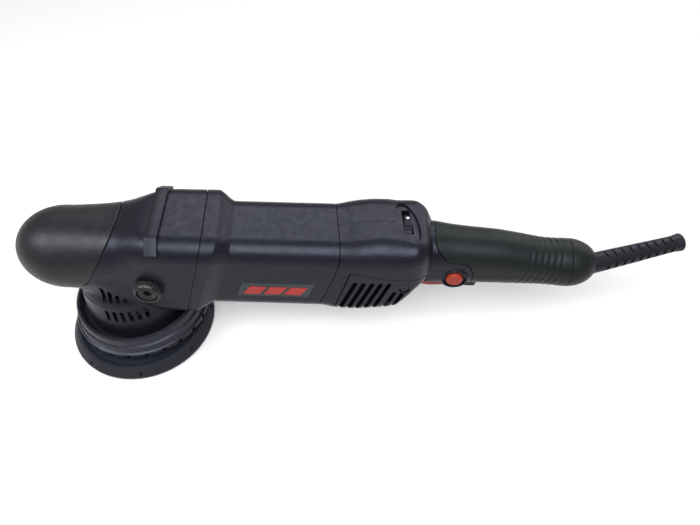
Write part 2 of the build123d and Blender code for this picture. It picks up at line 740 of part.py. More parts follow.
with BuildPart() as whole_case:
    with BuildSketch(Plane.XY.offset(case_floor)):
        Circle(case_radius)
    extrude(amount=case_top - case_floor)
    with BuildSketch(Plane.YZ.offset(15)):
        with Locations((0, axis_z)):
            Circle(tunnel_radius)
    extrude(amount=tunnel_end - 15)
    with BuildSketch(Plane.YZ.offset(tunnel_end)):
        with Locations((0, axis_z)):
            Circle(flange_radius)
            with PolarLocations(flange_screw_radius, 4, start_angle=45):
                Circle(2.0, mode=Mode.SUBTRACT)
    extrude(amount=-flange_thickness)
    with BuildSketch(Plane.XY.offset(case_floor + 4)):
        Circle(case_hollow)
    extrude(amount=case_top - case_floor - 7.5, mode=Mode.SUBTRACT)
    with BuildSketch(Plane.XY.offset(case_floor)):
        Circle(lower_bearing_outer + 3)
    extrude(amount=lower_bearing_z + lower_bearing_width - case_floor)
    with BuildSketch(Plane.XY.offset(upper_bearing_z - 1.5)):
        Circle(bearing_outer + 2)
    extrude(amount=case_top - upper_bearing_z + 1.5)
    with BuildSketch(Plane.XY.offset(lower_bearing_z)):
        Circle(lower_bearing_outer)
    extrude(amount=lower_bearing_width, mode=Mode.SUBTRACT)
    with BuildSketch(Plane.XY.offset(case_floor)):
        Circle(lower_bearing_outer - 2)
    extrude(amount=4, mode=Mode.SUBTRACT)
    with BuildSketch(Plane.XY.offset(upper_bearing_z - 1.5)):
        Circle(bearing_outer)
    extrude(amount=bearing_width + 1.5, mode=Mode.SUBTRACT)
    with BuildSketch(Plane.YZ.offset(20)):
        with Locations((0, axis_z)):
            Circle(tunnel_bore)
    extrude(amount=30, mode=Mode.SUBTRACT)
    with BuildSketch(Plane.YZ.offset(front_bearing_x)):
        with Locations((0, axis_z)):
            Circle(bearing_outer)
    extrude(amount=12, mode=Mode.SUBTRACT)

for keep, node in ((Keep.BOTTOM, "gearcase"), (Keep.TOP, "gearcase_cover")):
    finish(split(whole_case.part, bisect_by=Plane.XY.offset(axis_z), keep=keep), node)

with BuildPart() as gearcase_screws:
    for quarter in range(4):
        turn = radians(45 + 90 * quarter)
        middle_y = flange_screw_radius * cos(turn)
        middle_z = axis_z + flange_screw_radius * sin(turn)
        with BuildSketch(Plane(origin=(bulkhead_x - flange_thickness, middle_y, middle_z), z_dir=(1, 0, 0))):
            Circle(2.0)
        extrude(amount=flange_thickness + bulkhead_thickness)
        with BuildSketch(Plane(origin=(bulkhead_x + bulkhead_thickness, middle_y, middle_z), z_dir=(1, 0, 0))):
            Circle(3.4)
            RegularPolygon(1.6, 6, mode=Mode.SUBTRACT)
        extrude(amount=2.6)
finish(gearcase_screws.part, "gearcase_screws")


def bearing(node, plane, outer, bore, width):
    """A sealed ball bearing: two races round a recessed seal on each face."""
    seal_outer = outer - 0.22 * (outer - bore)
    seal_inner = bore + 0.28 * (outer - bore)
    with BuildPart() as ring:
        with BuildSketch(plane):
            Circle(outer)
            Circle(bore, mode=Mode.SUBTRACT)
        extrude(amount=width)
        for face_plane in (plane, plane.offset(width - 0.5)):
            with BuildSketch(face_plane):
                Circle(seal_outer)
                Circle(seal_inner, mode=Mode.SUBTRACT)
            extrude(amount=0.5, mode=Mode.SUBTRACT)
    finish(ring.part, node)


rear_bearing_x = 180.0
bearing("front_motor_bearing", leaning_plane(front_bearing_x), bearing_outer,
        journal_radius + running_gap, bearing_width)
bearing("rear_motor_bearing", leaning_plane(rear_bearing_x), bearing_outer,
        journal_radius + running_gap, bearing_width)
bearing("upper_spindle_bearing", Plane.XY.offset(upper_bearing_z), bearing_outer,
        journal_radius + running_gap, bearing_width)
bearing("lower_spindle_bearing", Plane.XY.offset(lower_bearing_z), lower_bearing_outer,
        spindle_radius + running_gap, lower_bearing_width)

# ---------------------------------------------------------------- bevel drive
pinion_angle = atan(pinion_teeth / crown_teeth)
crown_angle = pi / 2 - pinion_angle
inner_scale = (cone_distance - face_width) / cone_distance
apex = Vector(0, 0, axis_z)


def bevel_teeth(count, cone_angle, axis, across, first):
    """Straight bevel teeth round axis; each narrows towards the apex of the pitch cone."""
    side_axis = axis.cross(across)
    teeth = []
    for number in range(count):
        turn = radians(first + number * 360 / count)
        outward = across * cos(turn) + side_axis * sin(turn)
        along = axis * cos(cone_angle) + outward * sin(cone_angle)
        crest = outward * cos(cone_angle) - axis * sin(cone_angle)
        with BuildPart() as tooth:
            for scale in (1.0, inner_scale):
                base = Plane(origin=apex + along * (cone_distance * scale), x_dir=crest.cross(along),
                             z_dir=along)
                half_tip = tooth_thickness * 0.26 * scale
                half_root = tooth_thickness * 0.74 * scale
                tip = tooth_addendum * scale
                root = -(tooth_dedendum + 0.25) * scale
                with BuildSketch(base):
                    with BuildLine():
                        Polyline((-half_root, root), (half_root, root), (half_tip, tip), (-half_tip, tip),
                                 close=True)
                    make_face()
            loft(ruled=True)
        teeth.append(tooth.part)
    return teeth


def cone_point(cone_angle, distance, below):
    """(along the axis, out from the axis) of a point below the pitch line, measured from the apex."""
    return (distance * cos(cone_angle) + below * sin(cone_angle),
            distance * sin(cone_angle) - below * cos(cone_angle))


crown_outer = cone_point(crown_angle, cone_distance, tooth_dedendum)
crown_inner = cone_point(crown_angle, cone_distance - face_width, tooth_dedendum * inner_scale)
crown_back = axis_z - 15.5
crown_hub = 66.0
crown_hub_radius = 11.0
with BuildPart() as crown_gear:
    add(ring_about(0, 0, [
        (spindle_radius, crown_hub), (crown_hub_radius, crown_hub), (crown_hub_radius, crown_back),
        (crown_outer[1], crown_back), (crown_outer[1], axis_z - crown_outer[0]),
        (crown_inner[1], axis_z - crown_inner[0]), (spindle_radius, axis_z - crown_inner[0])]))
    add(bevel_teeth(crown_teeth, crown_angle, Vector(0, 0, -1), Vector(1, 0, 0), 180 / crown_teeth))
finish(crown_gear.part, "crown_gear")

pinion_outer = cone_point(pinion_angle, cone_distance, tooth_dedendum)
pinion_inner = cone_point(pinion_angle, cone_distance - face_width, tooth_dedendum * inner_scale)
nose_radius = 2.6
nose_start = 22.5
shank_end = 30.0
with BuildPart() as bevel_pinion:
    add(turned_on_motor_axis([
        (pinion_inner[0], 0), (pinion_inner[0], pinion_inner[1]), (pinion_outer[0], pinion_outer[1]),
        (pinion_outer[0], 5.6), (shank_end, 5.6), (shank_end, nose_radius), (nose_start, nose_radius),
        (nose_start, 0)]))
    add(bevel_teeth(pinion_teeth, pinion_angle, Vector(1, 0, 0), Vector(0, 0, -1), 0))
finish(bevel_pinion.part, "bevel_pinion")

# ---------------------------------------------------------------- spindle, counterweight and pad drive
spindle_low = 40.0
journal_low = 94.0
spindle_top = 103.2
with BuildPart() as spindle:
    add(ring_about(0, 0, [(0, spindle_low), (spindle_radius, spindle_low), (spindle_radius, journal_low),
                          (journal_radius, journal_low), (journal_radius, spindle_top), (0, spindle_top)]))
finish(spindle.part, "spindle")

weight_low = 29.0
weight_top = 47.0
pocket_top = 38.0
pad_bearing_outer = 13.0      # 6000 size: 26 mm across, 10 mm bore, 8 mm wide
pad_bearing_width = 8.0
pad_shaft_radius = 5.0
with BuildPart() as counterweight:
    with BuildSketch(Plane.XY.offset(weight_low)):
        Circle(16.0)
        with Locations((orbit_x, orbit_y)):
            Circle(pad_bearing_outer + 3.5)
        with BuildLine():
            sweep_half = 62
            heavy = orbit_angle + 180
            sector = CenterArc((0, 0), 38.0, heavy - sweep_half, 2 * sweep_half)
            Line(sector @ 1, (0, 0))
            Line((0, 0), sector @ 0)
        make_face()
    extrude(amount=weight_top - weight_low)
    with BuildSketch(Plane.XY.offset(weight_low)):
        with Locations((orbit_x, orbit_y)):
            Circle(pad_bearing_outer)
    extrude(amount=pocket_top - weight_low, mode=Mode.SUBTRACT)
    with BuildSketch(Plane.XY.offset(spindle_low)):
        Circle(spindle_radius)
    extrude(amount=20, mode=Mode.SUBTRACT)
finish(counterweight.part, "counterweight")

bearing("pad_bearing", Plane(origin=(orbit_x, orbit_y, pocket_top - pad_bearing_width)), pad_bearing_outer,
        pad_shaft_radius + running_gap, pad_bearing_width)

pad_shaft_top = 37.2
pad_flange_z = 23.0
pad_flange_radius = 9.5
pad_thread_radius = 4.0
pad_shaft_low = 12.0
with BuildPart() as pad_spindle:
    add(ring_about(orbit_x, orbit_y, [
        (pad_thread_radius, pad_shaft_low), (7.0, pad_shaft_low), (7.0, pad_flange_z),
        (pad_flange_radius, pad_flange_z), (pad_flange_radius, pad_flange_z + 3.5),
        (pad_shaft_radius, pad_flange_z + 3.5), (pad_shaft_radius, pad_shaft_top),
        (0, pad_shaft_top), (0, 27.0), (pad_thread_radius, 27.0)]))
finish(pad_spindle.part, "pad_spindle")

bolt_head_low = 4.0
bolt_head_top = 9.0
with BuildPart() as pad_bolt:
    add(ring_about(orbit_x, orbit_y, [(0, bolt_head_low), (6.5, bolt_head_low), (6.5, bolt_head_top),
                                      (pad_thread_radius, bolt_head_top), (pad_thread_radius, 26.0), (0, 26.0)]))
    with BuildSketch(Plane(origin=(orbit_x, orbit_y, bolt_head_low))):
        RegularPolygon(3.4, 6)
    extrude(amount=3.5, mode=Mode.SUBTRACT)
finish(pad_bolt.part, "pad_bolt")

# ---------------------------------------------------------------- backing plate, foam and hook face
plate_radius = 62.5
lip_radius = 56.6
lip_z = 10.0
hook_thickness = 1.4
foam_bore = 16.0
hook_bore = 5.5               # a hex key reaches the pad bolt through it
vent_holes = 6
vent_radius = 4.5
vent_pitch_radius = 38.0
skirt_holes = 8
with BuildPart() as backing_plate:
    add(ring_about(orbit_x, orbit_y, [
        (7.0, 12.0), (pad_thread_radius, 12.0), (pad_thread_radius, bolt_head_top), (8.0, bolt_head_top),
        (8.0, 5.4), (foam_bore, 5.4), (lip_radius - 2.6, 5.4), (lip_radius, lip_z - 0.6),
        (lip_radius - 0.5, lip_z), (lip_radius - 1.6, lip_z), (52.0, 8.4), (44.0, 7.6), (20.0, 9.0),
        (14.0, 14.0), (14.0, 22.6), (7.0, 22.6)]))
    with BuildSketch(Plane(origin=(orbit_x, orbit_y, 0))):
        with PolarLocations(vent_pitch_radius, vent_holes):
            Circle(vent_radius)
    extrude(amount=20, mode=Mode.SUBTRACT)
finish(backing_plate.part, "backing_plate")

with BuildPart() as plate_foam:
    add(ring_about(orbit_x, orbit_y, [
        (foam_bore, hook_thickness), (plate_radius - 0.3, hook_thickness), (plate_radius, 2.6),
        (lip_radius + 0.9, lip_z - 0.8), (lip_radius, lip_z - 0.6), (lip_radius - 2.6, 5.4), (foam_bore, 5.4)]))
    with BuildSketch(Plane(origin=(orbit_x, orbit_y, 0))):
        with PolarLocations(vent_pitch_radius, vent_holes):
            Circle(vent_radius)
    extrude(amount=20, mode=Mode.SUBTRACT)
    for number in range(skirt_holes):
        turn = radians(-78.6 + number * 360 / skirt_holes)
        outward = Vector(cos(turn), sin(turn), 0)
        place = Plane(origin=Vector(orbit_x, orbit_y, 4.2) + outward * (plate_radius - 4.5), z_dir=outward)
        with BuildSketch(place):
            Circle(0.9)
        extrude(amount=6, mode=Mode.SUBTRACT)
finish(plate_foam.part, "plate_foam")

with BuildPart() as hook_face:
    with BuildSketch(Plane(origin=(orbit_x, orbit_y, 0))):
        Circle(plate_radius - 0.5)
        Circle(hook_bore, mode=Mode.SUBTRACT)
        with PolarLocations(vent_pitch_radius, vent_holes):
            Circle(vent_radius, mode=Mode.SUBTRACT)
    extrude(amount=hook_thickness)
finish(hook_face.part, "hook_face")

# ---------------------------------------------------------------- armature
core_start = 98.0
core_end_x = 148.0
armature_radius = 16.8
armature_slots = 12
winding_reach = 8.0
shaft_end = 188.5
with BuildPart() as armature_shaft:
    add(turned_on_motor_axis([
        (nose_start, 0), (nose_start, nose_radius), (shank_end, nose_radius), (shank_end, journal_radius),
        (front_bearing_x + bearing_width + 1, journal_radius), (front_bearing_x + bearing_width + 1, shaft_radius),
        (rear_bearing_x - 1, shaft_radius), (rear_bearing_x - 1, journal_radius), (shaft_end, journal_radius),
        (shaft_end, 0)]))
finish(armature_shaft.part, "armature_shaft")

with BuildPart() as armature_core:
    with BuildSketch(leaning_plane(core_start)):
        Circle(armature_radius)
        Circle(shaft_radius, mode=Mode.SUBTRACT)
        with PolarLocations(armature_radius - 2.2, armature_slots):
            Rectangle(5.4, 2.0, mode=Mode.SUBTRACT)
    extrude(amount=core_end_x - core_start)
finish(armature_core.part, "armature_core")

with BuildPart() as armature_windings:
    for near, far in ((core_start, core_start - winding_reach), (core_end_x, core_end_x + winding_reach)):
        step = (far - near) / winding_reach
        add(turned_on_motor_axis([(near, shaft_radius), (far, shaft_radius), (far, 12.0),
                                  (far - 1.5 * step, 14.2), (near + 2 * step, 15.6), (near, 15.6)]))
finish(armature_windings.part, "armature_windings")

commutator_radius = 11.0
commutator_start = 159.0
commutator_end = 173.0
with BuildPart() as commutator:
    with BuildSketch(leaning_plane(commutator_start)):
        Circle(commutator_radius)
        Circle(shaft_radius, mode=Mode.SUBTRACT)
        with PolarLocations(commutator_radius, 24):
            Rectangle(1.6, 0.5, mode=Mode.SUBTRACT)
    extrude(amount=commutator_end - commutator_start)
finish(commutator.part, "commutator")

fan_x = 70.0
fan_radius = 26.0
fan_blades = 13
with BuildPart() as cooling_fan:
    with BuildSketch(leaning_plane(fan_x)):
        Circle(fan_radius)
        Circle(shaft_radius, mode=Mode.SUBTRACT)
    extrude(amount=1.6)
    with BuildSketch(leaning_plane(fan_x)):
        Circle(9.5)
        Circle(shaft_radius, mode=Mode.SUBTRACT)
    extrude(amount=12)
    with BuildSketch(leaning_plane(fan_x + 1.6)):
        with PolarLocations(19.5, fan_blades):
            Rectangle(12.0, 1.5, rotation=24)
    extrude(amount=9)
finish(cooling_fan.part, "cooling_fan")

# ---------------------------------------------------------------- stator
stator_radius = 27.0
stator_bore = 17.5
coil_inner = 18.3
coil_outer = 22.6
coil_half_angle = 62
coil_bar_angle = 15


def coil_sector(x, centre, half_angle):
    """A ring sector of the coil's section at x, about the motor axis."""
    with BuildSketch(leaning_plane(x)) as sector:
        with BuildLine():
            outer_arc = CenterArc((0, 0), coil_outer, centre - half_angle, 2 * half_angle)
            inner_arc = CenterArc((0, 0), coil_inner, centre - half_angle, 2 * half_angle)
            Line(outer_arc @ 0, inner_arc @ 0)
            Line(outer_arc @ 1, inner_arc @ 1)
        make_face()
    return sector.sketch


with BuildPart() as stator_windings:
    for centre in (90, 270):
        for start, length in ((core_start - winding_reach, winding_reach), (core_end_x, winding_reach)):
            extrude(coil_sector(start, centre, coil_half_angle + coil_bar_angle), amount=length)
        for side in (-1, 1):
            extrude(coil_sector(core_start, centre + side * coil_half_angle, coil_bar_angle),
                    amount=core_end_x - core_start)
finish(stator_windings.part, "stator_windings")

with BuildPart() as stator_core:
    with BuildSketch(leaning_plane(core_start)):
        Circle(stator_radius)
        Circle(stator_bore, mode=Mode.SUBTRACT)
    extrude(amount=core_end_x - core_start)
    add(stator_windings.part, mode=Mode.SUBTRACT)
finish(stator_core.part, "stator_core")

# ---------------------------------------------------------------- brush gear and rear motor bearing seat
plate_x = 174.0
plate_thickness = 4.0
plate_disc_radius = 26.5
seat_radius = 14.0
seat_end = 190.0
with BuildPart() as bearing_plate:
    with BuildSketch(leaning_plane(plate_x)):
        Circle(plate_disc_radius)
        Circle(7.0, mode=Mode.SUBTRACT)
    extrude(amount=plate_thickness)
    with BuildSketch(leaning_plane(plate_x + plate_thickness)):
        Circle(seat_radius)
        Circle(bearing_outer, mode=Mode.SUBTRACT)
    extrude(amount=seat_end - plate_x - plate_thickness)
    with BuildSketch(leaning_plane(seat_end - 1.5)):
        Circle(seat_radius)
        Circle(6.0, mode=Mode.SUBTRACT)
    extrude(amount=1.5)
finish(bearing_plate.part, "bearing_plate")

brush_middle_x = 166.0
brush_size = (10.0, 6.0)
holder_size = (14.5, 10.0)
holder_start = 12.6
holder_end = 26.2
brush_tail = 19.0
for side, name in ((-1, "left"), (1, "right")):
    with BuildPart() as brush_holder:
        with BuildSketch(Plane(origin=(plate_x - holder_size[0] / 2, side * holder_start, axis_z),
                               x_dir=(1, 0, 0), z_dir=(0, side, 0))):
            Rectangle(*holder_size)
        extrude(amount=holder_end - holder_start)
        with BuildSketch(Plane(origin=(brush_middle_x, side * holder_start, axis_z),
                               x_dir=(1, 0, 0), z_dir=(0, side, 0))):
            Rectangle(brush_size[0], brush_size[1])
        extrude(amount=holder_end - holder_start - 1.2, mode=Mode.SUBTRACT)
    finish(brush_holder.part, f"brush_holder_{name}")
    with BuildPart() as brush:
        with BuildSketch(Plane(origin=(brush_middle_x, side * (commutator_radius + 0.05), axis_z),
                               x_dir=(1, 0, 0), z_dir=(0, side, 0))):
            Rectangle(brush_size[0], brush_size[1])
        extrude(amount=brush_tail - commutator_radius - 0.05)
    finish(brush.part, f"brush_{name}")
    coil_spring(f"brush_spring_{name}",
                Plane(origin=(brush_middle_x, side * (brush_tail + 0.35), axis_z), z_dir=(0, side, 0)),
                holder_end - 1.2 - brush_tail, 2.2, 0.3, 5)
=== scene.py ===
"""Looks for a dual action polisher: smooth moulded shells, materials, soft studio and camera."""
import json
import math

import bmesh
import bpy
import numpy as np
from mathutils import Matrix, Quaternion, Vector

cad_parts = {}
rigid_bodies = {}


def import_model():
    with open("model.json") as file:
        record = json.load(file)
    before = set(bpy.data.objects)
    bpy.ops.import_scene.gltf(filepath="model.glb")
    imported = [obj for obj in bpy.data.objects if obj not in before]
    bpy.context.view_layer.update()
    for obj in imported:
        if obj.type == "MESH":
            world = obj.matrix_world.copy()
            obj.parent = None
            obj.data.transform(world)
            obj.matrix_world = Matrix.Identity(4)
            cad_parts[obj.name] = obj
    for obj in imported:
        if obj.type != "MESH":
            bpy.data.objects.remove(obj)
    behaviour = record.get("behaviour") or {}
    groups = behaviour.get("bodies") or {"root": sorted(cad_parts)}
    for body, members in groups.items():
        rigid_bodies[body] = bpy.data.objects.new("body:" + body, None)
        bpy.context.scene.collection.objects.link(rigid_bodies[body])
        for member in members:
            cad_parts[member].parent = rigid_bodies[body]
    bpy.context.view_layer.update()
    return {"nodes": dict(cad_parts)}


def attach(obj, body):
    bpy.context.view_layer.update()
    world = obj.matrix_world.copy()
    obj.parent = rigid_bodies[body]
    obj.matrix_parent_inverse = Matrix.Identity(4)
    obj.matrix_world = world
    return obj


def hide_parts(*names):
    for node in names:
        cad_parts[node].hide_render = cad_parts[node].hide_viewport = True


for leftover in list(bpy.data.objects):
    bpy.data.objects.remove(leftover)

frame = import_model()
nodes = frame["nodes"]
MM = 0.001

# ------------------------------ camera
CAMERA_TARGET = Vector((0.1857, 0.0010, 0.0809))
CAMERA_DISTANCE = 0.4874
CAMERA_AZIMUTH = math.radians(2.5)      # round from the left side towards the grip
CAMERA_ELEVATION = math.radians(52.0)
CAMERA_ROLL = math.radians(-0.35)
CAMERA_LENS = 30.857
SENSOR_WIDTH = 36.0
NEAR_CLIP = 0.01


def add_camera():
    """Puts the scene's camera above the tool's left side, looking down at its middle."""
    data = bpy.data.cameras.new("camera")
    data.lens = CAMERA_LENS
    data.sensor_width = SENSOR_WIDTH
    data.clip_start = NEAR_CLIP
    camera = bpy.data.objects.new("camera", data)
    bpy.context.scene.collection.objects.link(camera)
    level = math.cos(CAMERA_ELEVATION)
    camera.location = CAMERA_TARGET + CAMERA_DISTANCE * Vector((
        math.sin(CAMERA_AZIMUTH) * level, -math.cos(CAMERA_AZIMUTH) * level, math.sin(CAMERA_ELEVATION)))
    aim = (CAMERA_TARGET - camera.location).to_track_quat("-Z", "Y")
    camera.rotation_euler = (aim @ Quaternion((0, 0, 1), CAMERA_ROLL)).to_euler()
    bpy.context.scene.camera = camera


add_camera()

# ------------------------------ the outer forms, in millimetres
# Stations across the motor axis: x, half width, half height, corner radius, rise, lean.
AXIS_Z = 91.5
WALL = 2.8
DOME_X = -40.0
DOME_LENGTH = 39.8
DOME_REACH = 56.0             # how much of the station scale the dome takes
HEAD = [
    (-60.0, 33.2, 33.2, 33.1, 2.0, 0.0),
    (-40.0, 33.2, 33.2, 33.1, 2.0, 0.0),
    (-20.0, 33.2, 34.0, 32.0, 2.0, 0.0),
    (0.0, 33.4, 35.4, 29.0, 1.5, 0.0),
    (12.0, 33.6, 37.2, 26.0, 1.2, 0.02),
    (22.0, 33.9, 40.2, 22.5, 0.8, 0.05),
    (27.0, 34.4, 41.6, 20.0, 0.5, 0.08),
    (33.0, 35.2, 42.6, 17.2, 0.2, 0.12),
    (41.0, 35.9, 43.0, 16.1, 0.0, 0.18),
    (48.0, 36.0, 43.0, 16.0, 0.0, 0.22),
    (64.0, 36.0, 43.0, 16.0, 0.0, 0.31),
    (70.0, 36.0, 43.0, 16.0, 0.0, 0.33),
]
MOTOR = [
    (50.0, 36.0, 43.0, 16.0, 0.0, 0.31),
    (64.0, 36.0, 43.0, 16.0, 0.0, 0.31),
    (74.0, 36.0, 43.0, 16.0, 0.0, 0.355),
    (77.0, 34.9, 41.8, 15.8, 0.0, 0.36),
    (84.8, 31.0, 37.6, 15.2, 0.0, 0.36),
    (88.0, 30.0, 36.5, 15.0, 0.0, 0.36),
    (120.0, 30.0, 36.5, 15.0, 0.0, 0.33),
    (172.0, 30.0, 36.5, 15.0, 0.0, 0.29),
    (180.0, 30.0, 36.5, 15.0, 0.0, 0.28),
]
REAR = [
    (160.0, 30.0, 36.5, 15.0, 0.0, 0.29),
    (171.0, 30.0, 36.5, 15.0, 0.0, 0.29),
    (176.0, 30.5, 37.1, 15.3, 0.1, 0.275),
    (183.0, 31.8, 38.6, 16.2, 0.3, 0.245),
    (190.0, 32.6, 39.6, 17.0, 0.7, 0.21),
    (199.0, 33.0, 40.0, 17.5, 1.5, 0.15),
    (208.0, 33.0, 39.5, 18.0, 2.5, 0.10),
    (222.0, 32.5, 37.0, 17.0, 4.0, 0.0),
    (230.0, 32.0, 31.0, 15.0, 9.5, 0.0),
    (238.0, 30.0, 24.0, 12.5, 15.5, 0.0),
    (243.5, 26.5, 20.0, 12.0, 17.0, 0.0),
    (248.0, 21.0, 16.0, 11.0, 14.5, 0.0),
]
HANDLE = [
    (232.0, 21.5, 26.5, 18.0, 7.5, 0.0),
    (250.0, 20.6, 25.4, 18.0, 7.0, 0.0),
    (265.0, 19.2, 24.0, 17.5, 6.3, 0.0),
    (280.0, 18.7, 23.0, 17.3, 5.6, 0.0),
    (300.0, 18.4, 22.0, 17.2, 4.6, 0.0),
    (320.0, 18.0, 20.4, 17.0, 2.4, 0.0),
    (340.0, 17.6, 18.9, 16.8, 0.2, 0.0),
    (357.0, 18.6, 19.2, 18.4, -0.8, 0.0),
    (370.0, 18.6, 19.2, 18.4, -0.8, 0.0),
]

SLANT = 0.08                  # how far a line across the top runs back for each millimetre to the left
REAR_SLANT = 0.12             # the same where the rear housing starts to swell
SWELL_END = 205.0
SWELL_LENGTH = 29.0
SIDE_Y = -30.0                # the left side, where the slanted lines have their stations' own x

ARC_POINTS = 40               # points round each corner of a section
FLAT_POINTS = 14              # points along each flat between two corners


def section_tables():
    """For each point of a section, its share across and up, and its direction round a corner."""
    across, up, turn = [], [], []
    signs = [(1, 1), (-1, 1), (-1, -1), (1, -1)]
    for quarter in range(4):
        side, high = signs[quarter]
        after_side, after_high = signs[(quarter + 1) % 4]
        for step in range(ARC_POINTS):
            across.append(side)
            up.append(high)
            turn.append((quarter + step / (ARC_POINTS - 1)) * math.pi / 2)
        for step in range(1, FLAT_POINTS + 1):
            share = step / (FLAT_POINTS + 1)
            across.append(side + (after_side - side) * share)
            up.append(high + (after_high - high) * share)
            turn.append((quarter + 1) * math.pi / 2)
    return np.array(across), np.array(up), np.cos(turn), np.sin(turn)


ACROSS, UP, TURN_COS, TURN_SIN = section_tables()
RING = len(ACROSS)


def through(stations, column, x):
    """A smooth curve through one column of the stations that never overshoots them."""
    xs = np.array([station[0] for station in stations])
    ys = np.array([station[column] for station in stations])
    step = np.diff(xs)
    rise = np.diff(ys) / step
    slope = np.zeros_like(ys)
    first = 2 * step[1:] + step[:-1]
    second = step[1:] + 2 * step[:-1]
    same = rise[:-1] * rise[1:] > 0
    slope[1:-1][same] = ((first + second)[same]
                         / (first[same] / rise[:-1][same] + second[same] / rise[1:][same]))
    slope[0] = rise[0]
    slope[-1] = rise[-1]
    x = np.clip(x, xs[0], xs[-1])
    at = np.clip(np.searchsorted(xs, x, side="right") - 1, 0, len(xs) - 2)
    t = (x - xs[at]) / step[at]
    return (ys[at] * (1 + 2 * t) * (1 - t) ** 2 + slope[at] * step[at] * t * (1 - t) ** 2
            + ys[at + 1] * t * t * (3 - 2 * t) - slope[at + 1] * step[at] * t * t * (1 - t))


# The flare over the neck: height, radius.
FLARE = [(58.0, 39.7), (64.5, 39.6), (73.0, 36.0), (79.0, 33.6), (84.5, 32.0), (90.0, 31.0), (96.0, 30.0)]
FLARE_BLEND = 7.0             # size of the fillet where the flare meets the head
FLARE_FADE = 8.0              # height over which the flare ends at its top


def flared(points):
    """Pushes the head's lower sides out to the flare over the neck, with a soft fillet."""
    reach = np.hypot(points[..., 0], points[..., 1])
    height = points[..., 2]
    flare = through(FLARE, 1, height)
    near = np.clip(FLARE_BLEND - np.abs(reach - flare), 0, None)
    grown = np.maximum(reach, flare) + near ** 2 / (4 * FLARE_BLEND)
    inside = (height > FLARE[0][0]) & (height < FLARE[-1][0])
    fade = np.clip((FLARE[-1][0] - height) / FLARE_FADE, 0, 1)
    grown = np.where(inside, reach + (grown - reach) * fade, reach)
    scale = grown / np.maximum(reach, 1e-6)
    result = points.copy()
    result[..., 0] *= scale
    result[..., 1] *= scale
    return result


def place(stations, u, inset=0.0):
    """Points on a form moved in by inset. u is the station, with one column for each point of a ring."""
    half_width = through(stations, 1, u) - inset
    half_height = through(stations, 2, u) - inset
    corner = np.maximum(through(stations, 3, u) - inset, 0.5)
    rise = through(stations, 4, u)
    lean = through(stations, 5, u)
    x = u
    if stations is HEAD:
        angle = np.clip((DOME_X - u) / DOME_REACH, 0, 1) * math.pi / 2
        x = np.where(u < DOME_X, DOME_X - (DOME_LENGTH - inset) * np.sin(angle), u)
        half_width = half_width * np.cos(angle)
        half_height = half_height * np.cos(angle)
        corner = corner * np.cos(angle)
    tall = corner / np.hypot(1, lean)
    y = ACROSS * (half_width - corner) + corner * TURN_COS
    h = UP * (half_height - tall) + tall * TURN_SIN
    points = np.stack([x + lean * h, y, AXIS_Z + rise + h], axis=-1)
    if stations is HEAD and inset < WALL:
        points = flared(points)
    if stations is MOTOR:
        points[..., 0] += SLANT * (SIDE_Y - y)
    if stations is REAR:
        points[..., 0] += REAR_SLANT * (SIDE_Y - y) * np.clip((SWELL_END - u) / SWELL_LENGTH, 0, 1)
    return points


# Seams as (height, x) points. Those that slant are given on the left side.
CAP_SEAM = [(60.0, -200.0), (75.6, -120.0), (76.2, -75.0), (77.0, -55.0), (78.8, -39.0), (81.4, -29.5),
            (85.2, -20.4), (91.5, -14.8), (110.0, -2.8), (125.0, 7.0), (140.0, 16.7)]
MOTOR_SEAM = [(30.0, 45.6), (59.7, 55.3), (97.4, 67.6), (123.6, 76.0), (134.5, 79.4), (150.0, 84.2)]
REAR_SEAM = [(40.0, 150.5), (56.0, 158.2), (72.6, 164.8), (91.9, 171.7), (112.5, 178.0),
             (121.0, 179.8), (128.0, 180.6), (150.0, 182.0)]
SEAM_SEARCH = 700             # stations tried along a form to find a seam


def cap_seam(points):
    """How far behind the front cap's seam each point is."""
    return points[..., 0] - through(CAP_SEAM, 1, points[..., 2])


def slanted_seam(curve, slant=SLANT):
    """Tells how far points are behind a seam that runs forwards across the top to the right."""
    def past(points):
        return points[..., 0] - through(curve, 1, points[..., 2]) - slant * (SIDE_Y - points[..., 1])
    return past


motor_seam = slanted_seam(MOTOR_SEAM)
rear_seam = slanted_seam(REAR_SEAM, REAR_SLANT)


def crossing(stations, seam, distance, inset, low, high):
    """The station at which each line along a form is a distance past a seam."""
    u = np.linspace(low, high, SEAM_SEARCH)[:, None] * np.ones(RING)
    past = seam(place(stations, u, inset)) - distance
    hit = np.clip(np.argmax(past > 0, axis=0), 1, None)
    column = np.arange(RING)
    before = past[hit - 1, column]
    after = past[hit, column]
    share = np.clip(before / (before - after), 0, 1)
    return u[hit - 1, column] + (u[hit, column] - u[hit - 1, column]) * share


# Edge profiles at a seam: (distance along the form from the seam, depth under the surface).
# One shell's lip slides inside the other's, with a fine open line between them.
GAP = 0.22
CAP_GAP = 0.42


def outer_lip(gap):
    """The lip that reaches over the other shell's, from the inside out."""
    return [(3.0, WALL), (3.0, 1.15), (gap + 0.1, 1.15), (gap, 1.0), (gap, 0.35),
            (gap + 0.12, 0.1), (gap + 0.4, 0.0)]


def inner_lip(gap):
    """The lip that slides under the other shell's, from the outside in."""
    return [(-gap - 0.4, 0.0), (-gap - 0.12, 0.1), (-gap, 0.35), (-gap, 1.3),
            (2.4, 1.3), (2.6, 1.5), (2.6, WALL)]


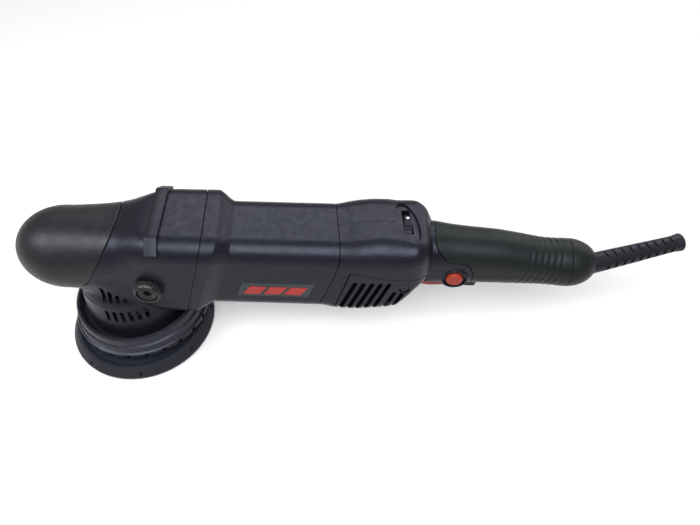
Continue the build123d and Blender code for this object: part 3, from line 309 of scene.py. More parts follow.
def shell_rows(stations, low, high, start=None, end=None, start_gap=GAP, end_gap=GAP,
               rows=110, inner_rows=40):
    """Rings down the outside of a shell, round its lip and back along the inside."""
    outer = outer_lip(start_gap)
    inner = inner_lip(end_gap)

    def at(seam, distance, inset):
        return crossing(stations, seam, distance, inset, low, high)

    result = []
    start_inner = np.full(RING, low)
    outer_from = np.full(RING, low)
    if start:
        result += [place(stations, at(start, distance, inset), inset) for distance, inset in outer[:-1]]
        start_inner = at(start, outer[0][0], WALL)
        outer_from = at(start, *outer[-1])
    outer_to = at(end, *inner[0])
    for share in np.linspace(0, 1, rows):
        result.append(place(stations, outer_from + (outer_to - outer_from) * share))
    result += [place(stations, at(end, distance, inset), inset) for distance, inset in inner[1:]]
    end_inner = at(end, *inner[-1])
    for share in np.linspace(0, 1, inner_rows)[1:]:
        result.append(place(stations, end_inner + (start_inner - end_inner) * share, WALL))
    return result[:-1] if start else result


# ------------------------------ mesh making
def new_object(name, points, faces):
    """A new mesh object from points in millimetres."""
    mesh = bpy.data.meshes.new(name)
    mesh.from_pydata((np.asarray(points) * MM).tolist(), [], faces)
    mesh.validate()
    obj = bpy.data.objects.new(name, mesh)
    bpy.context.scene.collection.objects.link(obj)
    return obj


def from_rings(name, rings, loop=False):
    """A closed mesh through rings of equal length, looped or with both ends capped."""
    count = len(rings[0])
    points = np.concatenate(rings)
    faces = []
    for row in range(len(rings) if loop else len(rings) - 1):
        here = row * count
        there = (row + 1) % len(rings) * count
        for column in range(count):
            after = (column + 1) % count
            faces.append((here + column, there + column, there + after, here + after))
    if not loop:
        faces.append(tuple(range(count)))
        faces.append(tuple(reversed(range(len(points) - count, len(points)))))
    obj = new_object(name, points, faces)
    set_outward(obj)
    return obj


def set_outward(obj):
    """Turns every face so that its front is outside."""
    work = bmesh.new()
    work.from_mesh(obj.data)
    bmesh.ops.recalc_face_normals(work, faces=work.faces)
    work.to_mesh(obj.data)
    work.free()


def carve(obj, operation, *tools):
    """Joins tools to a mesh, or cuts them out of it, and removes them."""
    for tool in tools:
        modifier = obj.modifiers.new("carve", "BOOLEAN")
        modifier.operation = operation
        modifier.solver = "MANIFOLD"
        modifier.object = tool
        settle(obj)
        bpy.data.objects.remove(tool)
    return obj


def settle(obj):
    """Applies the object's modifiers to its mesh."""
    bpy.context.view_layer.update()
    graph = bpy.context.evaluated_depsgraph_get()
    mesh = bpy.data.meshes.new_from_object(obj.evaluated_get(graph))
    obj.modifiers.clear()
    obj.data = mesh


def prism(outline, y_start, y_end):
    """A prism across the body from (x, z) points."""
    rings = [np.array([(x, y, z) for x, z in outline]) for y in (y_start, y_end)]
    return from_rings("tool", rings)


def box(low, high):
    """A box between two (x, y, z) corners."""
    (x0, y0, z0), (x1, y1, z1) = low, high
    return prism([(x0, z0), (x1, z0), (x1, z1), (x0, z1)], y0, y1)


def beam(outline, x_start, x_end):
    """A prism along the body from (y, z) points."""
    return from_rings("tool", [np.array([(x, y, z) for y, z in outline]) for x in (x_start, x_end)])


def turned(name, centre, axis, profile, count=96, loop=True):
    """A mesh turned about an axis from (distance along, radius) points."""
    axis = np.array(axis, float) / np.linalg.norm(axis)
    side = np.cross(axis, (0.0, 0.0, 1.0) if abs(axis[2]) < 0.9 else (1.0, 0.0, 0.0))
    side = side / np.linalg.norm(side)
    other = np.cross(axis, side)
    angles = np.linspace(0, 2 * math.pi, count, endpoint=False)
    rings = []
    for along, radius in profile:
        rings.append(np.array(centre) + axis * along + radius
                     * (np.cos(angles)[:, None] * side + np.sin(angles)[:, None] * other))
    return from_rings(name, rings, loop)


def drum(centre, axis, length, radius, count=64):
    """A plain cylinder from a centre along an axis."""
    return turned("tool", centre, axis, [(0, radius), (length, radius)], count, loop=False)


def slot_outline(length, width, steps=12):
    """A round-ended slot about the origin, its length along the second axis."""
    half = (length - width) / 2
    points = []
    for end in (1, -1):
        for step in range(steps + 1):
            angle = math.pi * step / steps + (0 if end > 0 else math.pi)
            points.append((width / 2 * math.cos(angle), end * half + width / 2 * math.sin(angle)))
    return points


def rounded(points, radius=0.35, steps=3):
    """A closed outline of (a, b) points with each corner rounded."""
    result = []
    count = len(points)
    for index in range(count):
        here = np.array(points[index], float)
        before = np.array(points[index - 1], float) - here
        after = np.array(points[(index + 1) % count], float) - here
        cut = min(radius, 0.4 * np.linalg.norm(before), 0.4 * np.linalg.norm(after))
        start = here + before / np.linalg.norm(before) * cut
        end = here + after / np.linalg.norm(after) * cut
        for step in range(steps + 1):
            t = step / steps
            result.append(tuple(start * (1 - t) ** 2 + 2 * here * t * (1 - t) + end * t * t))
    return result


# ------------------------------ materials
NOISE_LOW = 0.35              # a noise seldom leaves this span
NOISE_HIGH = 0.65
CLOUD_SCALE = 55.0            # features per metre
GLOSS_SCALE = 180.0
PATCH_SCALE = 400.0
EDGE_START = 0.52             # pointiness at which an edge starts to lighten: rubbed wear, and on black steel partly a painted highlight
EDGE_FULL = 0.62
SPECK_SHARE = 0.4
FIRST_COLOR = 6               # places of the colours on a Mix node
SECOND_COLOR = 7
COLOR_RESULT = 2
COOL_GLOSS = (0.72, 0.75, 1.0)
WHITE = (1.0, 1.0, 1.0)


def material(name):
    """A new material, its node tree and its Principled shader."""
    made = bpy.data.materials.new(name)
    made.use_nodes = True
    tree = made.node_tree
    return made, tree, tree.nodes["Principled BSDF"]


def node(tree, kind, inputs=None, **properties):
    """A new node with its input values and properties set."""
    made = tree.nodes.new(kind)
    for key, value in properties.items():
        setattr(made, key, value)
    for key, value in (inputs or {}).items():
        made.inputs[key].default_value = value
    return made


def noise(tree, scale, detail=3.0):
    """A noise in the piece's own space; scale is features per metre."""
    coordinates = node(tree, "ShaderNodeTexCoord")
    made = node(tree, "ShaderNodeTexNoise", {"Scale": scale, "Detail": detail, "Roughness": 0.55})
    tree.links.new(coordinates.outputs["Object"], made.inputs["Vector"])
    return made.outputs["Fac"]


def spread(tree, source, low, high):
    """Spreads a noise over low to high."""
    made = node(tree, "ShaderNodeMapRange",
                {"From Min": NOISE_LOW, "From Max": NOISE_HIGH, "To Min": low, "To Max": high})
    tree.links.new(source, made.inputs["Value"])
    return made.outputs["Result"]


def mixed(tree, factor, first, second):
    """A mix of two colours. The factor and the colours are values or outputs of other nodes."""
    made = node(tree, "ShaderNodeMix", data_type="RGBA")
    if isinstance(factor, float):
        made.inputs["Factor"].default_value = factor
    else:
        tree.links.new(factor, made.inputs["Factor"])
    for slot, value in ((FIRST_COLOR, first), (SECOND_COLOR, second)):
        if isinstance(value, tuple):
            made.inputs[slot].default_value = (*value, 1.0)
        else:
            tree.links.new(value, made.inputs[slot])
    return made.outputs[COLOR_RESULT]


def shade(color, factor):
    """A colour made lighter or darker."""
    return tuple(channel * factor for channel in color)


def clouded(tree, color, grain, variation):
    """A colour with broad clouds and a fine speck."""
    cloud = spread(tree, noise(tree, CLOUD_SCALE, 4.0), 0.0, 1.0)
    base = mixed(tree, cloud, shade(color, 1 - variation), shade(color, 1 + variation))
    speck = spread(tree, noise(tree, grain, 2.0), 0.0, 1.0)
    speckled = mixed(tree, speck, shade(color, 0.94), shade(color, 1.06))
    return mixed(tree, SPECK_SHARE, base, speckled)


def edge_wear_and_highlight_mask(tree, wear_and_highlight_strength):
    """How much each outer edge is lightened, in patches: rubbed wear, and on black steel partly a painted
    highlight.
    """
    geometry = node(tree, "ShaderNodeNewGeometry")
    wear_and_highlight_ramp = node(tree, "ShaderNodeMapRange",
                  {"From Min": EDGE_START, "From Max": EDGE_FULL, "To Max": wear_and_highlight_strength})
    tree.links.new(geometry.outputs["Pointiness"], wear_and_highlight_ramp.inputs["Value"])
    patchy = node(tree, "ShaderNodeMath", operation="MULTIPLY")
    tree.links.new(wear_and_highlight_ramp.outputs["Result"], patchy.inputs[0])
    tree.links.new(spread(tree, noise(tree, PATCH_SCALE, 4.0), 0.2, 1.0), patchy.inputs[1])
    return patchy.outputs[0]


def grain_bump(tree, grain, depth):
    """The fine grain of a moulded surface, depth in millimetres."""
    bump = node(tree, "ShaderNodeBump", {"Strength": 0.5, "Distance": depth * MM})
    tree.links.new(noise(tree, grain, 2.0), bump.inputs["Height"])
    return bump.outputs["Normal"]


def moulded(name, color, roughness=0.5, grain=2600.0, grain_depth=0.05, wear_and_highlight_strength=0.35, specular=0.20,
            metallic=0.0, variation=0.12, sheen=0.0, wear_and_highlight_color=None, tint=COOL_GLOSS):
    """A solid finish: clouded colour, fine grain, uneven gloss and lighter edges, which are rubbed wear and
    on black steel partly a painted highlight.
    """
    made, tree, shader = material(name)
    edge_wear_and_highlight_tone = wear_and_highlight_color or shade(color, 1.7)
    color_output = mixed(tree, edge_wear_and_highlight_mask(tree, wear_and_highlight_strength), clouded(tree, color, grain, variation), edge_wear_and_highlight_tone)
    gloss = spread(tree, noise(tree, GLOSS_SCALE, 5.0), roughness - 0.05, roughness + 0.06)
    tree.links.new(color_output, shader.inputs["Base Color"])
    tree.links.new(gloss, shader.inputs["Roughness"])
    tree.links.new(grain_bump(tree, grain, grain_depth), shader.inputs["Normal"])
    shader.inputs["Specular IOR Level"].default_value = specular
    shader.inputs["Specular Tint"].default_value = (*tint, 1.0)
    shader.inputs["Metallic"].default_value = metallic
    if sheen:
        shader.inputs["Sheen Weight"].default_value = sheen
        shader.inputs["Sheen Roughness"].default_value = 0.5
    return made


def metal(name, color, roughness, grain, grain_depth, metallic, specular=0.20):
    """A bare metal, whose gloss has no tint."""
    return moulded(name, color, roughness, grain, grain_depth, metallic=metallic, specular=specular,
                   tint=WHITE)


def bright_plastic(name, color, grain_depth=0.02, variation=0.12, specular=0.20, roughness=0.36,
                   grain=2600.0):
    """A coloured plastic, whose gloss has no tint."""
    return moulded(name, color, roughness, grain, grain_depth, variation=variation, specular=specular,
                   tint=WHITE)


FINISHES = {
    "nose": moulded("nose_plastic", (0.0050, 0.0052, 0.0058), 0.42, 2400.0, specular=0.25,
                    tint=(0.90, 0.93, 1.0)),
    "housing": moulded("housing_plastic", (0.0045, 0.0047, 0.0066), 0.35),
    "shroud": moulded("shroud_plastic", (0.0085, 0.0087, 0.0120), 0.32, 2600.0, 0.02, wear_and_highlight_strength=0.1,
                      specular=0.30),
    "rib": moulded("rib_rubber", (0.0050, 0.0052, 0.0066), 0.40, 1800.0, 0.06),
    "badge": moulded("badge_plate", (0.017, 0.021, 0.022), 0.38, 3000.0, 0.02),
    "mark": bright_plastic("badge_mark", (0.20, 0.014, 0.013), roughness=0.35, grain=3000.0),
    "grip": moulded("grip_rubber", (0.0052, 0.0060, 0.0063), 0.44, 1500.0, 0.09, specular=0.12,
                    sheen=0.02, tint=(0.88, 0.95, 1.0)),
    "sleeve": moulded("sleeve_rubber", (0.0055, 0.0054, 0.0068), 0.45, 1800.0, 0.06),
    "dial": moulded("dial_plastic", (0.0035, 0.0035, 0.0045), 0.42, 2600.0, 0.03),
    "inner_plastic": moulded("inner_plastic", (0.0014, 0.0014, 0.0018), 0.70, specular=0.02),
    "circuit_board": bright_plastic("circuit_board", (0.02, 0.12, 0.05), 0.03, specular=0.5,
                                    roughness=0.35, grain=900.0),
    "button": bright_plastic("button_plastic", (0.19, 0.018, 0.008), variation=0.05),
    "trigger": bright_plastic("trigger_plastic", (0.14, 0.008, 0.007), variation=0.06, specular=0.3),
    "steel": metal("bright_steel", (0.55, 0.55, 0.56), 0.28, 900.0, 0.02, 1.0, specular=0.5),
    # Black steel's light edge colour is partly rubbed wear and partly a painted highlight for the bright rims
    # of the bolt heads.
    "black_steel": moulded("black_steel", (0.005, 0.005, 0.006), 0.24, 1500.0, 0.02, wear_and_highlight_strength=0.4,
                           specular=0.22, wear_and_highlight_color=(0.12, 0.12, 0.13), tint=WHITE),
    "casting": metal("cast_alloy", (0.42, 0.42, 0.43), 0.45, 700.0, 0.12, 0.9),
    "iron": metal("cast_iron", (0.16, 0.16, 0.17), 0.5, 700.0, 0.12, 0.8),
    "dish": moulded("dish_plastic", (0.0110, 0.0120, 0.0175), 0.28, 2200.0, 0.04),
    "foam": moulded("plate_foam", (0.0065, 0.0062, 0.0078), 0.70, 1100.0, 0.16, sheen=0.08),
    "hooks": moulded("hook_pile", (0.02, 0.02, 0.022), 0.85, 1600.0, 0.3, sheen=0.3),
    "laminations": metal("laminations", (0.22, 0.22, 0.23), 0.45, 2000.0, 0.04, 0.8),
    "copper": metal("copper_wire", (0.55, 0.22, 0.09), 0.35, 1600.0, 0.10, 0.9),
    "brass": metal("brass", (0.60, 0.42, 0.16), 0.32, 1200.0, 0.03, 1.0),
    "carbon": moulded("carbon", (0.03, 0.03, 0.03), 0.6, 1600.0),
}
# The dial's pointer is printed in a paint of its own.
POINTER_PAINT = bright_plastic("pointer_paint", (0.50, 0.50, 0.50), 0.01, roughness=0.45, grain=3000.0)

for cad_node in nodes.values():
    for material_slot in cad_node.material_slots:
        if material_slot.material and material_slot.material.name in FINISHES:
            material_slot.material = FINISHES[material_slot.material.name]


def finish_piece(obj, name, slot, replaced, body="housing", sharp=34.0):
    """Names a made piece, gives it its finish and puts it in the frame.

    Edges that turn by more than sharp degrees stay sharp.
    """
    obj.name = name
    obj.data.name = name
    obj.data.materials.clear()
    obj.data.materials.append(FINISHES[slot])
    obj.data.polygons.foreach_set("material_index", [0] * len(obj.data.polygons))
    obj.data.shade_smooth()
    obj.data.set_sharp_from_angle(angle=math.radians(sharp))
    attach(obj, body)
    if replaced:
        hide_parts(*replaced)
    return obj


# ------------------------------ front cap and gear housing
CAP_START = DOME_X - DOME_REACH + 0.3
CAP_END = 30.0
GEAR_START = DOME_X - DOME_REACH + 0.5
GEAR_END = 70.0
front_cap = from_rings("front_cap", shell_rows(HEAD, CAP_START, CAP_END, end=cap_seam,
                                               end_gap=CAP_GAP, rows=120))
finish_piece(front_cap, "front_cap", "nose", ["head_cap"])

NECK_SLOT_FIRST = -103.6      # degrees round the neck
NECK_SLOT_STEP = 8.8
NECK_SLOT_WIDTH = 3.3
NECK_SLOT_OUTER = 50.0        # how far from the neck's axis the cutters reach
UPPER_SLOT_INNER = 18.0
LOWER_SLOT_INNER = 30.0
UPPER_SLOTS = [(68.5, 84.0), (68.5, 80.0), (68.5, 76.0), (68.5, 72.5)]    # bottom, top
LOWER_SLOTS = [(48.0, 60.5)] * 6


def neck_slot(number, low, high, side, inner):
    """A cutter for one round-ended upright slot through the neck."""
    angle = math.radians(side * (NECK_SLOT_FIRST + number * NECK_SLOT_STEP))
    out = np.array((math.cos(angle), math.sin(angle), 0.0))
    along = np.array((-math.sin(angle), math.cos(angle), 0.0))
    outline = slot_outline(high - low, NECK_SLOT_WIDTH)
    middle = np.array((0.0, 0.0, (low + high) / 2))
    rings = [np.array([middle + out * reach + along * a + np.array((0, 0, b)) for a, b in outline])
             for reach in (inner, NECK_SLOT_OUTER)]
    return from_rings("tool", rings)


def cut_neck_slots(obj, slots, inner):
    """Cuts a row of slots through each side of the neck."""
    for side in (1, -1):
        for number, (low, high) in enumerate(slots):
            carve(obj, "DIFFERENCE", neck_slot(number, low, high, side, inner))


gear_housing = from_rings("gear_housing", shell_rows(HEAD, GEAR_START, GEAR_END, start=cap_seam,
                                                     end=motor_seam, start_gap=CAP_GAP, rows=150), loop=True)
cut_neck_slots(gear_housing, UPPER_SLOTS, UPPER_SLOT_INNER)
finish_piece(gear_housing, "gear_housing", "housing", ["head_housing"])

# The strap over the gear housing is a raised band whose ends stand on the sides.
STRAP_MIDDLE = 41.5
STRAP_SLANT = 0.05
STRAP_FLAT_HALF = 25.0        # half length of its flat top
STRAP_TOP_Z = 137.0
STRAP_FOOT = (36.2, 128.2)    # half length and height of its feet
STRAP_TUCK = (1.0, 1.6)       # how far a foot's end turns in and down, into the housing
STRAP_CORNER = 1.6
STRAP_CORNER_STEPS = 6
STRAP_DEPTH = 6.0
STRAP_SECTION = [(-4.9, -STRAP_DEPTH), (-4.9, -0.8), (-4.65, -0.25), (-4.1, 0.0),
                 (4.1, 0.0), (4.65, -0.25), (4.9, -0.8), (4.9, -STRAP_DEPTH)]


def strap_path():
    """(y, z) points along the strap's top, from one foot over the flat to the other."""
    foot_y, foot_z = STRAP_FOOT
    tuck_y, tuck_z = STRAP_TUCK
    corners = [(-foot_y + tuck_y, foot_z - tuck_z), (-foot_y, foot_z), (-STRAP_FLAT_HALF, STRAP_TOP_Z),
               (STRAP_FLAT_HALF, STRAP_TOP_Z), (foot_y, foot_z), (foot_y - tuck_y, foot_z - tuck_z)]
    closed = rounded(corners, STRAP_CORNER, STRAP_CORNER_STEPS)
    return closed[STRAP_CORNER_STEPS:-STRAP_CORNER_STEPS - 1]


def strap_rings():
    """Sections of the strap, a bar whose top is flat and whose ends slope down over the corners."""
    path = strap_path()
    rings = []
    for index, (y, z) in enumerate(path):
        before = path[max(index - 1, 0)]
        after = path[min(index + 1, len(path) - 1)]
        along = np.array((after[0] - before[0], after[1] - before[1]))
        up = np.array((-along[1], along[0])) / np.linalg.norm(along)
        rings.append(np.array([(STRAP_MIDDLE + across - STRAP_SLANT * y, y + up[0] * lift, z + up[1] * lift)
                               for across, lift in STRAP_SECTION]))
    return rings


strap = from_rings("strap", strap_rings())
finish_piece(strap, "strap", "rib", ["top_rib"])

# The neck's section: height, radius.
NECK = [(64.6, 37.0), (64.6, 39.9), (64.3, 40.2), (60.0, 40.7), (48.0, 42.5), (36.0, 44.2), (30.0, 44.6),
        (24.5, 44.6), (24.5, 41.8), (36.0, 41.4), (60.0, 38.0)]
NECK_CORNER = 0.5
UPWARDS = (0, 0, 1)
neck = turned("neck", (0, 0, 0), UPWARDS, rounded(NECK, NECK_CORNER), 180)
cut_neck_slots(neck, LOWER_SLOTS, LOWER_SLOT_INNER)
finish_piece(neck, "neck", "housing", ["neck_ring"])

# ------------------------------ side handle bolts
BOLT_CENTRE = (31.5, 87.7)
BOLT_SEAT_Y = 36.0
BOLT_THREAD = 5.0
BOLT_THREAD_LENGTH = 7.5
BOLT_KNURLS = 34
KNURL_POINTS = 8              # points round one knurl
KNURL_DEPTH = 0.5
# Distance out of the housing, radius, share of the knurl's depth.
BOLT_PROFILE = [(-BOLT_THREAD_LENGTH, BOLT_THREAD, 0), (0.05, BOLT_THREAD, 0), (0.05, 10.9, 0),
                (0.35, 11.3, 1), (4.1, 11.3, 1), (4.7, 10.7, 0), (5.5, 10.4, 0), (6.0, 10.0, 0),
                (6.2, 9.5, 0), (6.2, 8.7, 0), (6.0, 8.3, 0), (5.3, 8.1, 0), (4.0, 8.0, 0), (3.9, 7.3, 0),
                (5.0, 7.1, 0), (5.3, 6.7, 0), (5.1, 5.8, 0), (4.3, 4.3, 0), (4.2, 0.4, 0)]
HEX_SOCKET = 3.6
HEX_FLOOR = 0.5
HEX_REACH = 12.0
HEX_TURN = 10.0               # degrees


def bolt(name, side):
    """A knurled bolt head with a rim, a cup and a hexagon socket."""
    x, z = BOLT_CENTRE
    steps = BOLT_KNURLS * KNURL_POINTS
    angles = np.linspace(0, 2 * math.pi, steps, endpoint=False)
    knurl = KNURL_DEPTH * (0.5 - 0.5 * np.cos(BOLT_KNURLS * angles)) ** 2
    rings = []
    for out, radius, share in BOLT_PROFILE:
        reach = radius - share * knurl
        rings.append(np.stack([x + reach * np.cos(angles), np.full(steps, side * (BOLT_SEAT_Y + out)),
                               z + reach * np.sin(angles)], axis=-1))
    head = from_rings(name, rings)
    corners = [math.radians(60 * corner + HEX_TURN) for corner in range(6)]
    socket = [(x + HEX_SOCKET * math.cos(turn), z + HEX_SOCKET * math.sin(turn)) for turn in corners]
    floor_y, open_y = BOLT_SEAT_Y + HEX_FLOOR, BOLT_SEAT_Y + HEX_REACH
    carve(head, "DIFFERENCE", prism(socket, side * floor_y, side * open_y))
    return finish_piece(head, name, "black_steel", [name.replace("_head", "")])


bolt("side_bolt_head_left", -1)
bolt("side_bolt_head_right", 1)

# ------------------------------ motor housing
MOTOR_START = 50.0
MOTOR_END = 180.0
BADGE_RECESS = [(96.4, 74.0), (153.9, 74.0), (160.6, 91.0), (103.1, 91.0)]
BADGE_CORNER = 1.5
BADGE_FLOOR_Y = -29.0
FAR_SIDE = 40.0               # past the side of every form
motor = from_rings("motor", shell_rows(MOTOR, MOTOR_START, MOTOR_END, start=motor_seam, end=rear_seam,
                                       rows=150), loop=True)
carve(motor, "DIFFERENCE", prism(rounded(BADGE_RECESS, BADGE_CORNER), -FAR_SIDE, BADGE_FLOOR_Y))
finish_piece(motor, "motor_housing_shell", "housing", ["motor_housing"])


# ------------------------------ forms for the rear housing
def form_solid(stations, low, high, inset=0.0, rows=60):
    """A closed solid of a form between two stations."""
    rings = [place(stations, np.full(RING, u), inset) for u in np.linspace(low, high, rows)]
    return from_rings("tool", rings)


def seam_solid(stations, seam, distance, high, rows=110):
    """A closed solid from a rounded edge at a seam to a station."""
    low = stations[0][0]
    rings = []
    for along, inset in ((0.0, 0.35), (0.12, 0.1)):
        rings.append(place(stations, crossing(stations, seam, distance + along, inset, low, high), inset))
    start = crossing(stations, seam, distance + 0.4, 0.0, low, high)
    for share in np.linspace(0, 1, rows):
        rings.append(place(stations, start + (high - start) * share))
    return from_rings("solid", rings)


# ------------------------------ dial recess
DIAL_X = 229.0
DIAL_Z = 117.9
DIAL_RADIUS = 15.0
DIAL_SLANT = math.radians(8.0)
DIAL_WINDOW = (6.4, 24.0)
DIAL_WINDOW_Y = 2.0
WINDOW_CORNER = 0.6
ABOVE_ALL = 150.0             # a height above the whole tool
DISH_SLANT = math.radians(16.5)
DISH_HALF_WIDTH = 8.1
DISH_HALF_LENGTH = 20.6
DISH_LOW = 124.5
DIAL_DISH = [(1.0, 0.35), (0.985, 0.8), (0.965, 1.3), (0.94, 1.75)]   # scale of the oval, depth
DISH_SPAN = (200.0, 247.9)    # stations of the surface that the dish follows
BOSS_SPAN = (205.0, 247.0)
BOSS_SCALE = 1.1
BOSS_TOP = 135.0
BEZEL_SCALE = 0.885
BEZEL_CLEARANCE = 0.01
BEZEL_HOLE_LOW = 118.0
BEZEL_LOW = 124.0
BEZEL_FACE = 1.8              # how deep the plate's face and back are under the housing's surface
BEZEL_BACK = 3.2
BEZEL_HOLLOW = (199.0, 248.0)


def slanted(points, slant=DIAL_SLANT):
    """Turns (x, y) points a little about the dial's middle."""
    turn_cos, turn_sin = math.cos(slant), math.sin(slant)
    return [(DIAL_X + (x - DIAL_X) * turn_cos - y * turn_sin, (x - DIAL_X) * turn_sin + y * turn_cos)
            for x, y in points]


def slanted_box(middle, size, low, high):
    """An upright box over the dial, turned like the dial's window."""
    (x, y), (wide, long) = middle, size
    corners = slanted(rounded([(x - wide / 2, y - long / 2), (x + wide / 2, y - long / 2),
                               (x + wide / 2, y + long / 2), (x - wide / 2, y + long / 2)], WINDOW_CORNER))
    return from_rings("tool", [np.array([(a, b, z) for a, b in corners]) for z in (low, high)])


def oval(scale, z, count=96):
    """An oval round the dial at a height."""
    points = [(DIAL_X + DISH_HALF_WIDTH * scale * math.cos(2 * math.pi * step / count),
               DISH_HALF_LENGTH * scale * math.sin(2 * math.pi * step / count)) for step in range(count)]
    return np.array([(a, b, z) for a, b in slanted(points, DISH_SLANT)])


def oval_drum(scale, low=DISH_LOW, high=ABOVE_ALL):
    """An upright oval drum round the dial."""
    return from_rings("tool", [oval(scale, z) for z in (low, high)])


def sink_dial(body):
    """Cuts the dished oval recess and the hole for its plate, backed by a boss inside the wall."""
    boss = oval_drum(BOSS_SCALE, high=BOSS_TOP)
    carve(boss, "INTERSECT", form_solid(REAR, *BOSS_SPAN))
    carve(body, "UNION", boss)
    for scale, depth in DIAL_DISH:
        dish = oval_drum(scale)
        carve(dish, "DIFFERENCE", form_solid(REAR, *DISH_SPAN, depth))
        carve(body, "DIFFERENCE", dish)
    carve(body, "DIFFERENCE", oval_drum(BEZEL_SCALE + BEZEL_CLEARANCE, BEZEL_HOLE_LOW))


def dial_bezel():
    """The plate in the recess, with the dial's window."""
    plate = oval_drum(BEZEL_SCALE, BEZEL_LOW)
    carve(plate, "INTERSECT", form_solid(REAR, *DISH_SPAN, BEZEL_FACE))
    carve(plate, "DIFFERENCE", form_solid(REAR, *BEZEL_HOLLOW, BEZEL_BACK))
    carve(plate, "DIFFERENCE", slanted_box((DIAL_X, DIAL_WINDOW_Y), DIAL_WINDOW, DIAL_Z, ABOVE_ALL))
    finish_piece(plate, "dial_bezel_plate", "housing", ["dial_bezel"])


# ------------------------------ rear housing and collar
REAR_END = 248.0
REAR_HOLLOW = (165.0, 244.0)
COLLAR_SPAN = (234.0, 292.0)
COLLAR = [(225.0, 140.0), (250.0, 140.0), (250.0, 122.0), (252.5, 118.0), (256.5, 113.0), (259.5, 109.6),
          (263.0, 108.0), (272.0, 107.0), (276.0, 105.2), (278.6, 101.5), (280.5, 96.0), (282.5, 60.0),
          (225.0, 60.0)]
CORE_SPAN = (246.0, 357.0)    # the handle's core under the rubber
CORE_INSET = 3.0
CORE_HOLLOW = (238.0, 362.0)
CORE_HOLLOW_INSET = 5.6
FOOT_OUTLINE = [(269.5, 80.0), (269.5, 68.8), (287.0, 68.8), (288.5, 80.0)]
FOOT_HALF_WIDTH = 9.6
FOOT_CORNER = 2.0
BUTTON = (267.5, 90.0)
BUTTON_COLLAR = [(14.0, 8.7), (19.8, 8.7), (20.3, 9.0), (20.4, 9.5), (20.2, 10.1), (19.4, 10.8), (14.0, 11.4)]
BUTTON_RECESS = [(17.4, 8.0), (17.8, 8.6), (19.4, 8.75), (20.0, 8.9), (30.0, 8.9)]
BUTTON_BORE = 6.6
BUTTON_BORE_START = -8.0
BUTTON_BORE_LENGTH = 20.0
LEFTWARDS = (0, -1, 0)
TRIGGER_OPENING = ((236.5, -9.7, 55.0), (269.5, 9.7, 84.0))
TRIGGER_RELIEF = [(2.0, 63.4), (30.0, 99.2), (40.0, 99.2), (40.0, 50.0), (2.0, 50.0)]
RELIEF_SPAN = (239.0, 257.0)
VENT_OUTLINE = [(187.3, 110.3), (212.0, 105.0), (228.0, 103.0), (246.0, 101.6), (246.0, 46.0), (168.6, 46.0)]
VENT_CORNER = 3.0
VENT_INNER_Y = 6.0
OUTSIDE_Y = 50.0              # well past the rear housing's sides
PART_GAP = 0.15               # half the seam between the halves
HALF_X = (150.0, 400.0)       # a box with room for either half
HALF_Y = 60.0
HALF_Z = (20.0, 160.0)


def join_handle(body):
    """Adds the collar, the handle's core and the foot behind the trigger."""
    collar = form_solid(HANDLE, *COLLAR_SPAN)
    carve(collar, "INTERSECT", prism(COLLAR, -FAR_SIDE, FAR_SIDE))
    carve(body, "UNION", collar)
    carve(body, "UNION", form_solid(HANDLE, *CORE_SPAN, CORE_INSET))
    foot = prism(rounded(FOOT_OUTLINE, FOOT_CORNER, 5), -FOOT_HALF_WIDTH, FOOT_HALF_WIDTH)
    carve(body, "UNION", foot)


def hollow_out(body):
    """Hollows the housing and the handle's core."""
    carve(body, "DIFFERENCE", form_solid(REAR, *REAR_HOLLOW, WALL))
    carve(body, "DIFFERENCE", form_solid(HANDLE, *CORE_HOLLOW, CORE_HOLLOW_INSET))


def button_ring(profile, loop):
    """A form turned about the lock button's axis."""
    return turned("tool", (BUTTON[0], 0, BUTTON[1]), LEFTWARDS, profile, 72, loop)


def open_trigger(body):
    """Opens the underside for the trigger and clears its sides."""
    carve(body, "DIFFERENCE", box(*TRIGGER_OPENING))
    for side in (1, -1):
        carve(body, "DIFFERENCE", beam([(side * y, z) for y, z in TRIGGER_RELIEF], *RELIEF_SPAN))


def rear_body():
    """Both halves of the rear housing in one piece."""
    body = seam_solid(REAR, rear_seam, GAP, REAR_END)
    join_handle(body)
    hollow_out(body)
    carve(body, "UNION", button_ring(BUTTON_COLLAR, loop=True))
    open_trigger(body)
    sink_dial(body)
    carve(body, "DIFFERENCE", button_ring(BUTTON_RECESS, loop=False))
    bore_start = (BUTTON[0], BUTTON_BORE_START, BUTTON[1])
    carve(body, "DIFFERENCE", drum(bore_start, LEFTWARDS, BUTTON_BORE_LENGTH, BUTTON_BORE))
    for side in (1, -1):
        opening = prism(rounded(VENT_OUTLINE, VENT_CORNER), side * VENT_INNER_Y, side * OUTSIDE_Y)
        carve(body, "DIFFERENCE", opening)
    return body


def rear_halves():
    """Splits the rear housing along its centre seam."""
    left = rear_body()
    right = left.copy()
    right.data = left.data.copy()
    bpy.context.scene.collection.objects.link(right)
    (start, stop), (low, high) = HALF_X, HALF_Z
    carve(left, "INTERSECT", box((start, -HALF_Y, low), (stop, -PART_GAP, high)))
    carve(right, "INTERSECT", box((start, PART_GAP, low), (stop, HALF_Y, high)))
    finish_piece(left, "rear_left", "housing", ["rear_housing_left"])
    finish_piece(right, "rear_right", "housing", ["rear_housing_right"])


rear_halves()

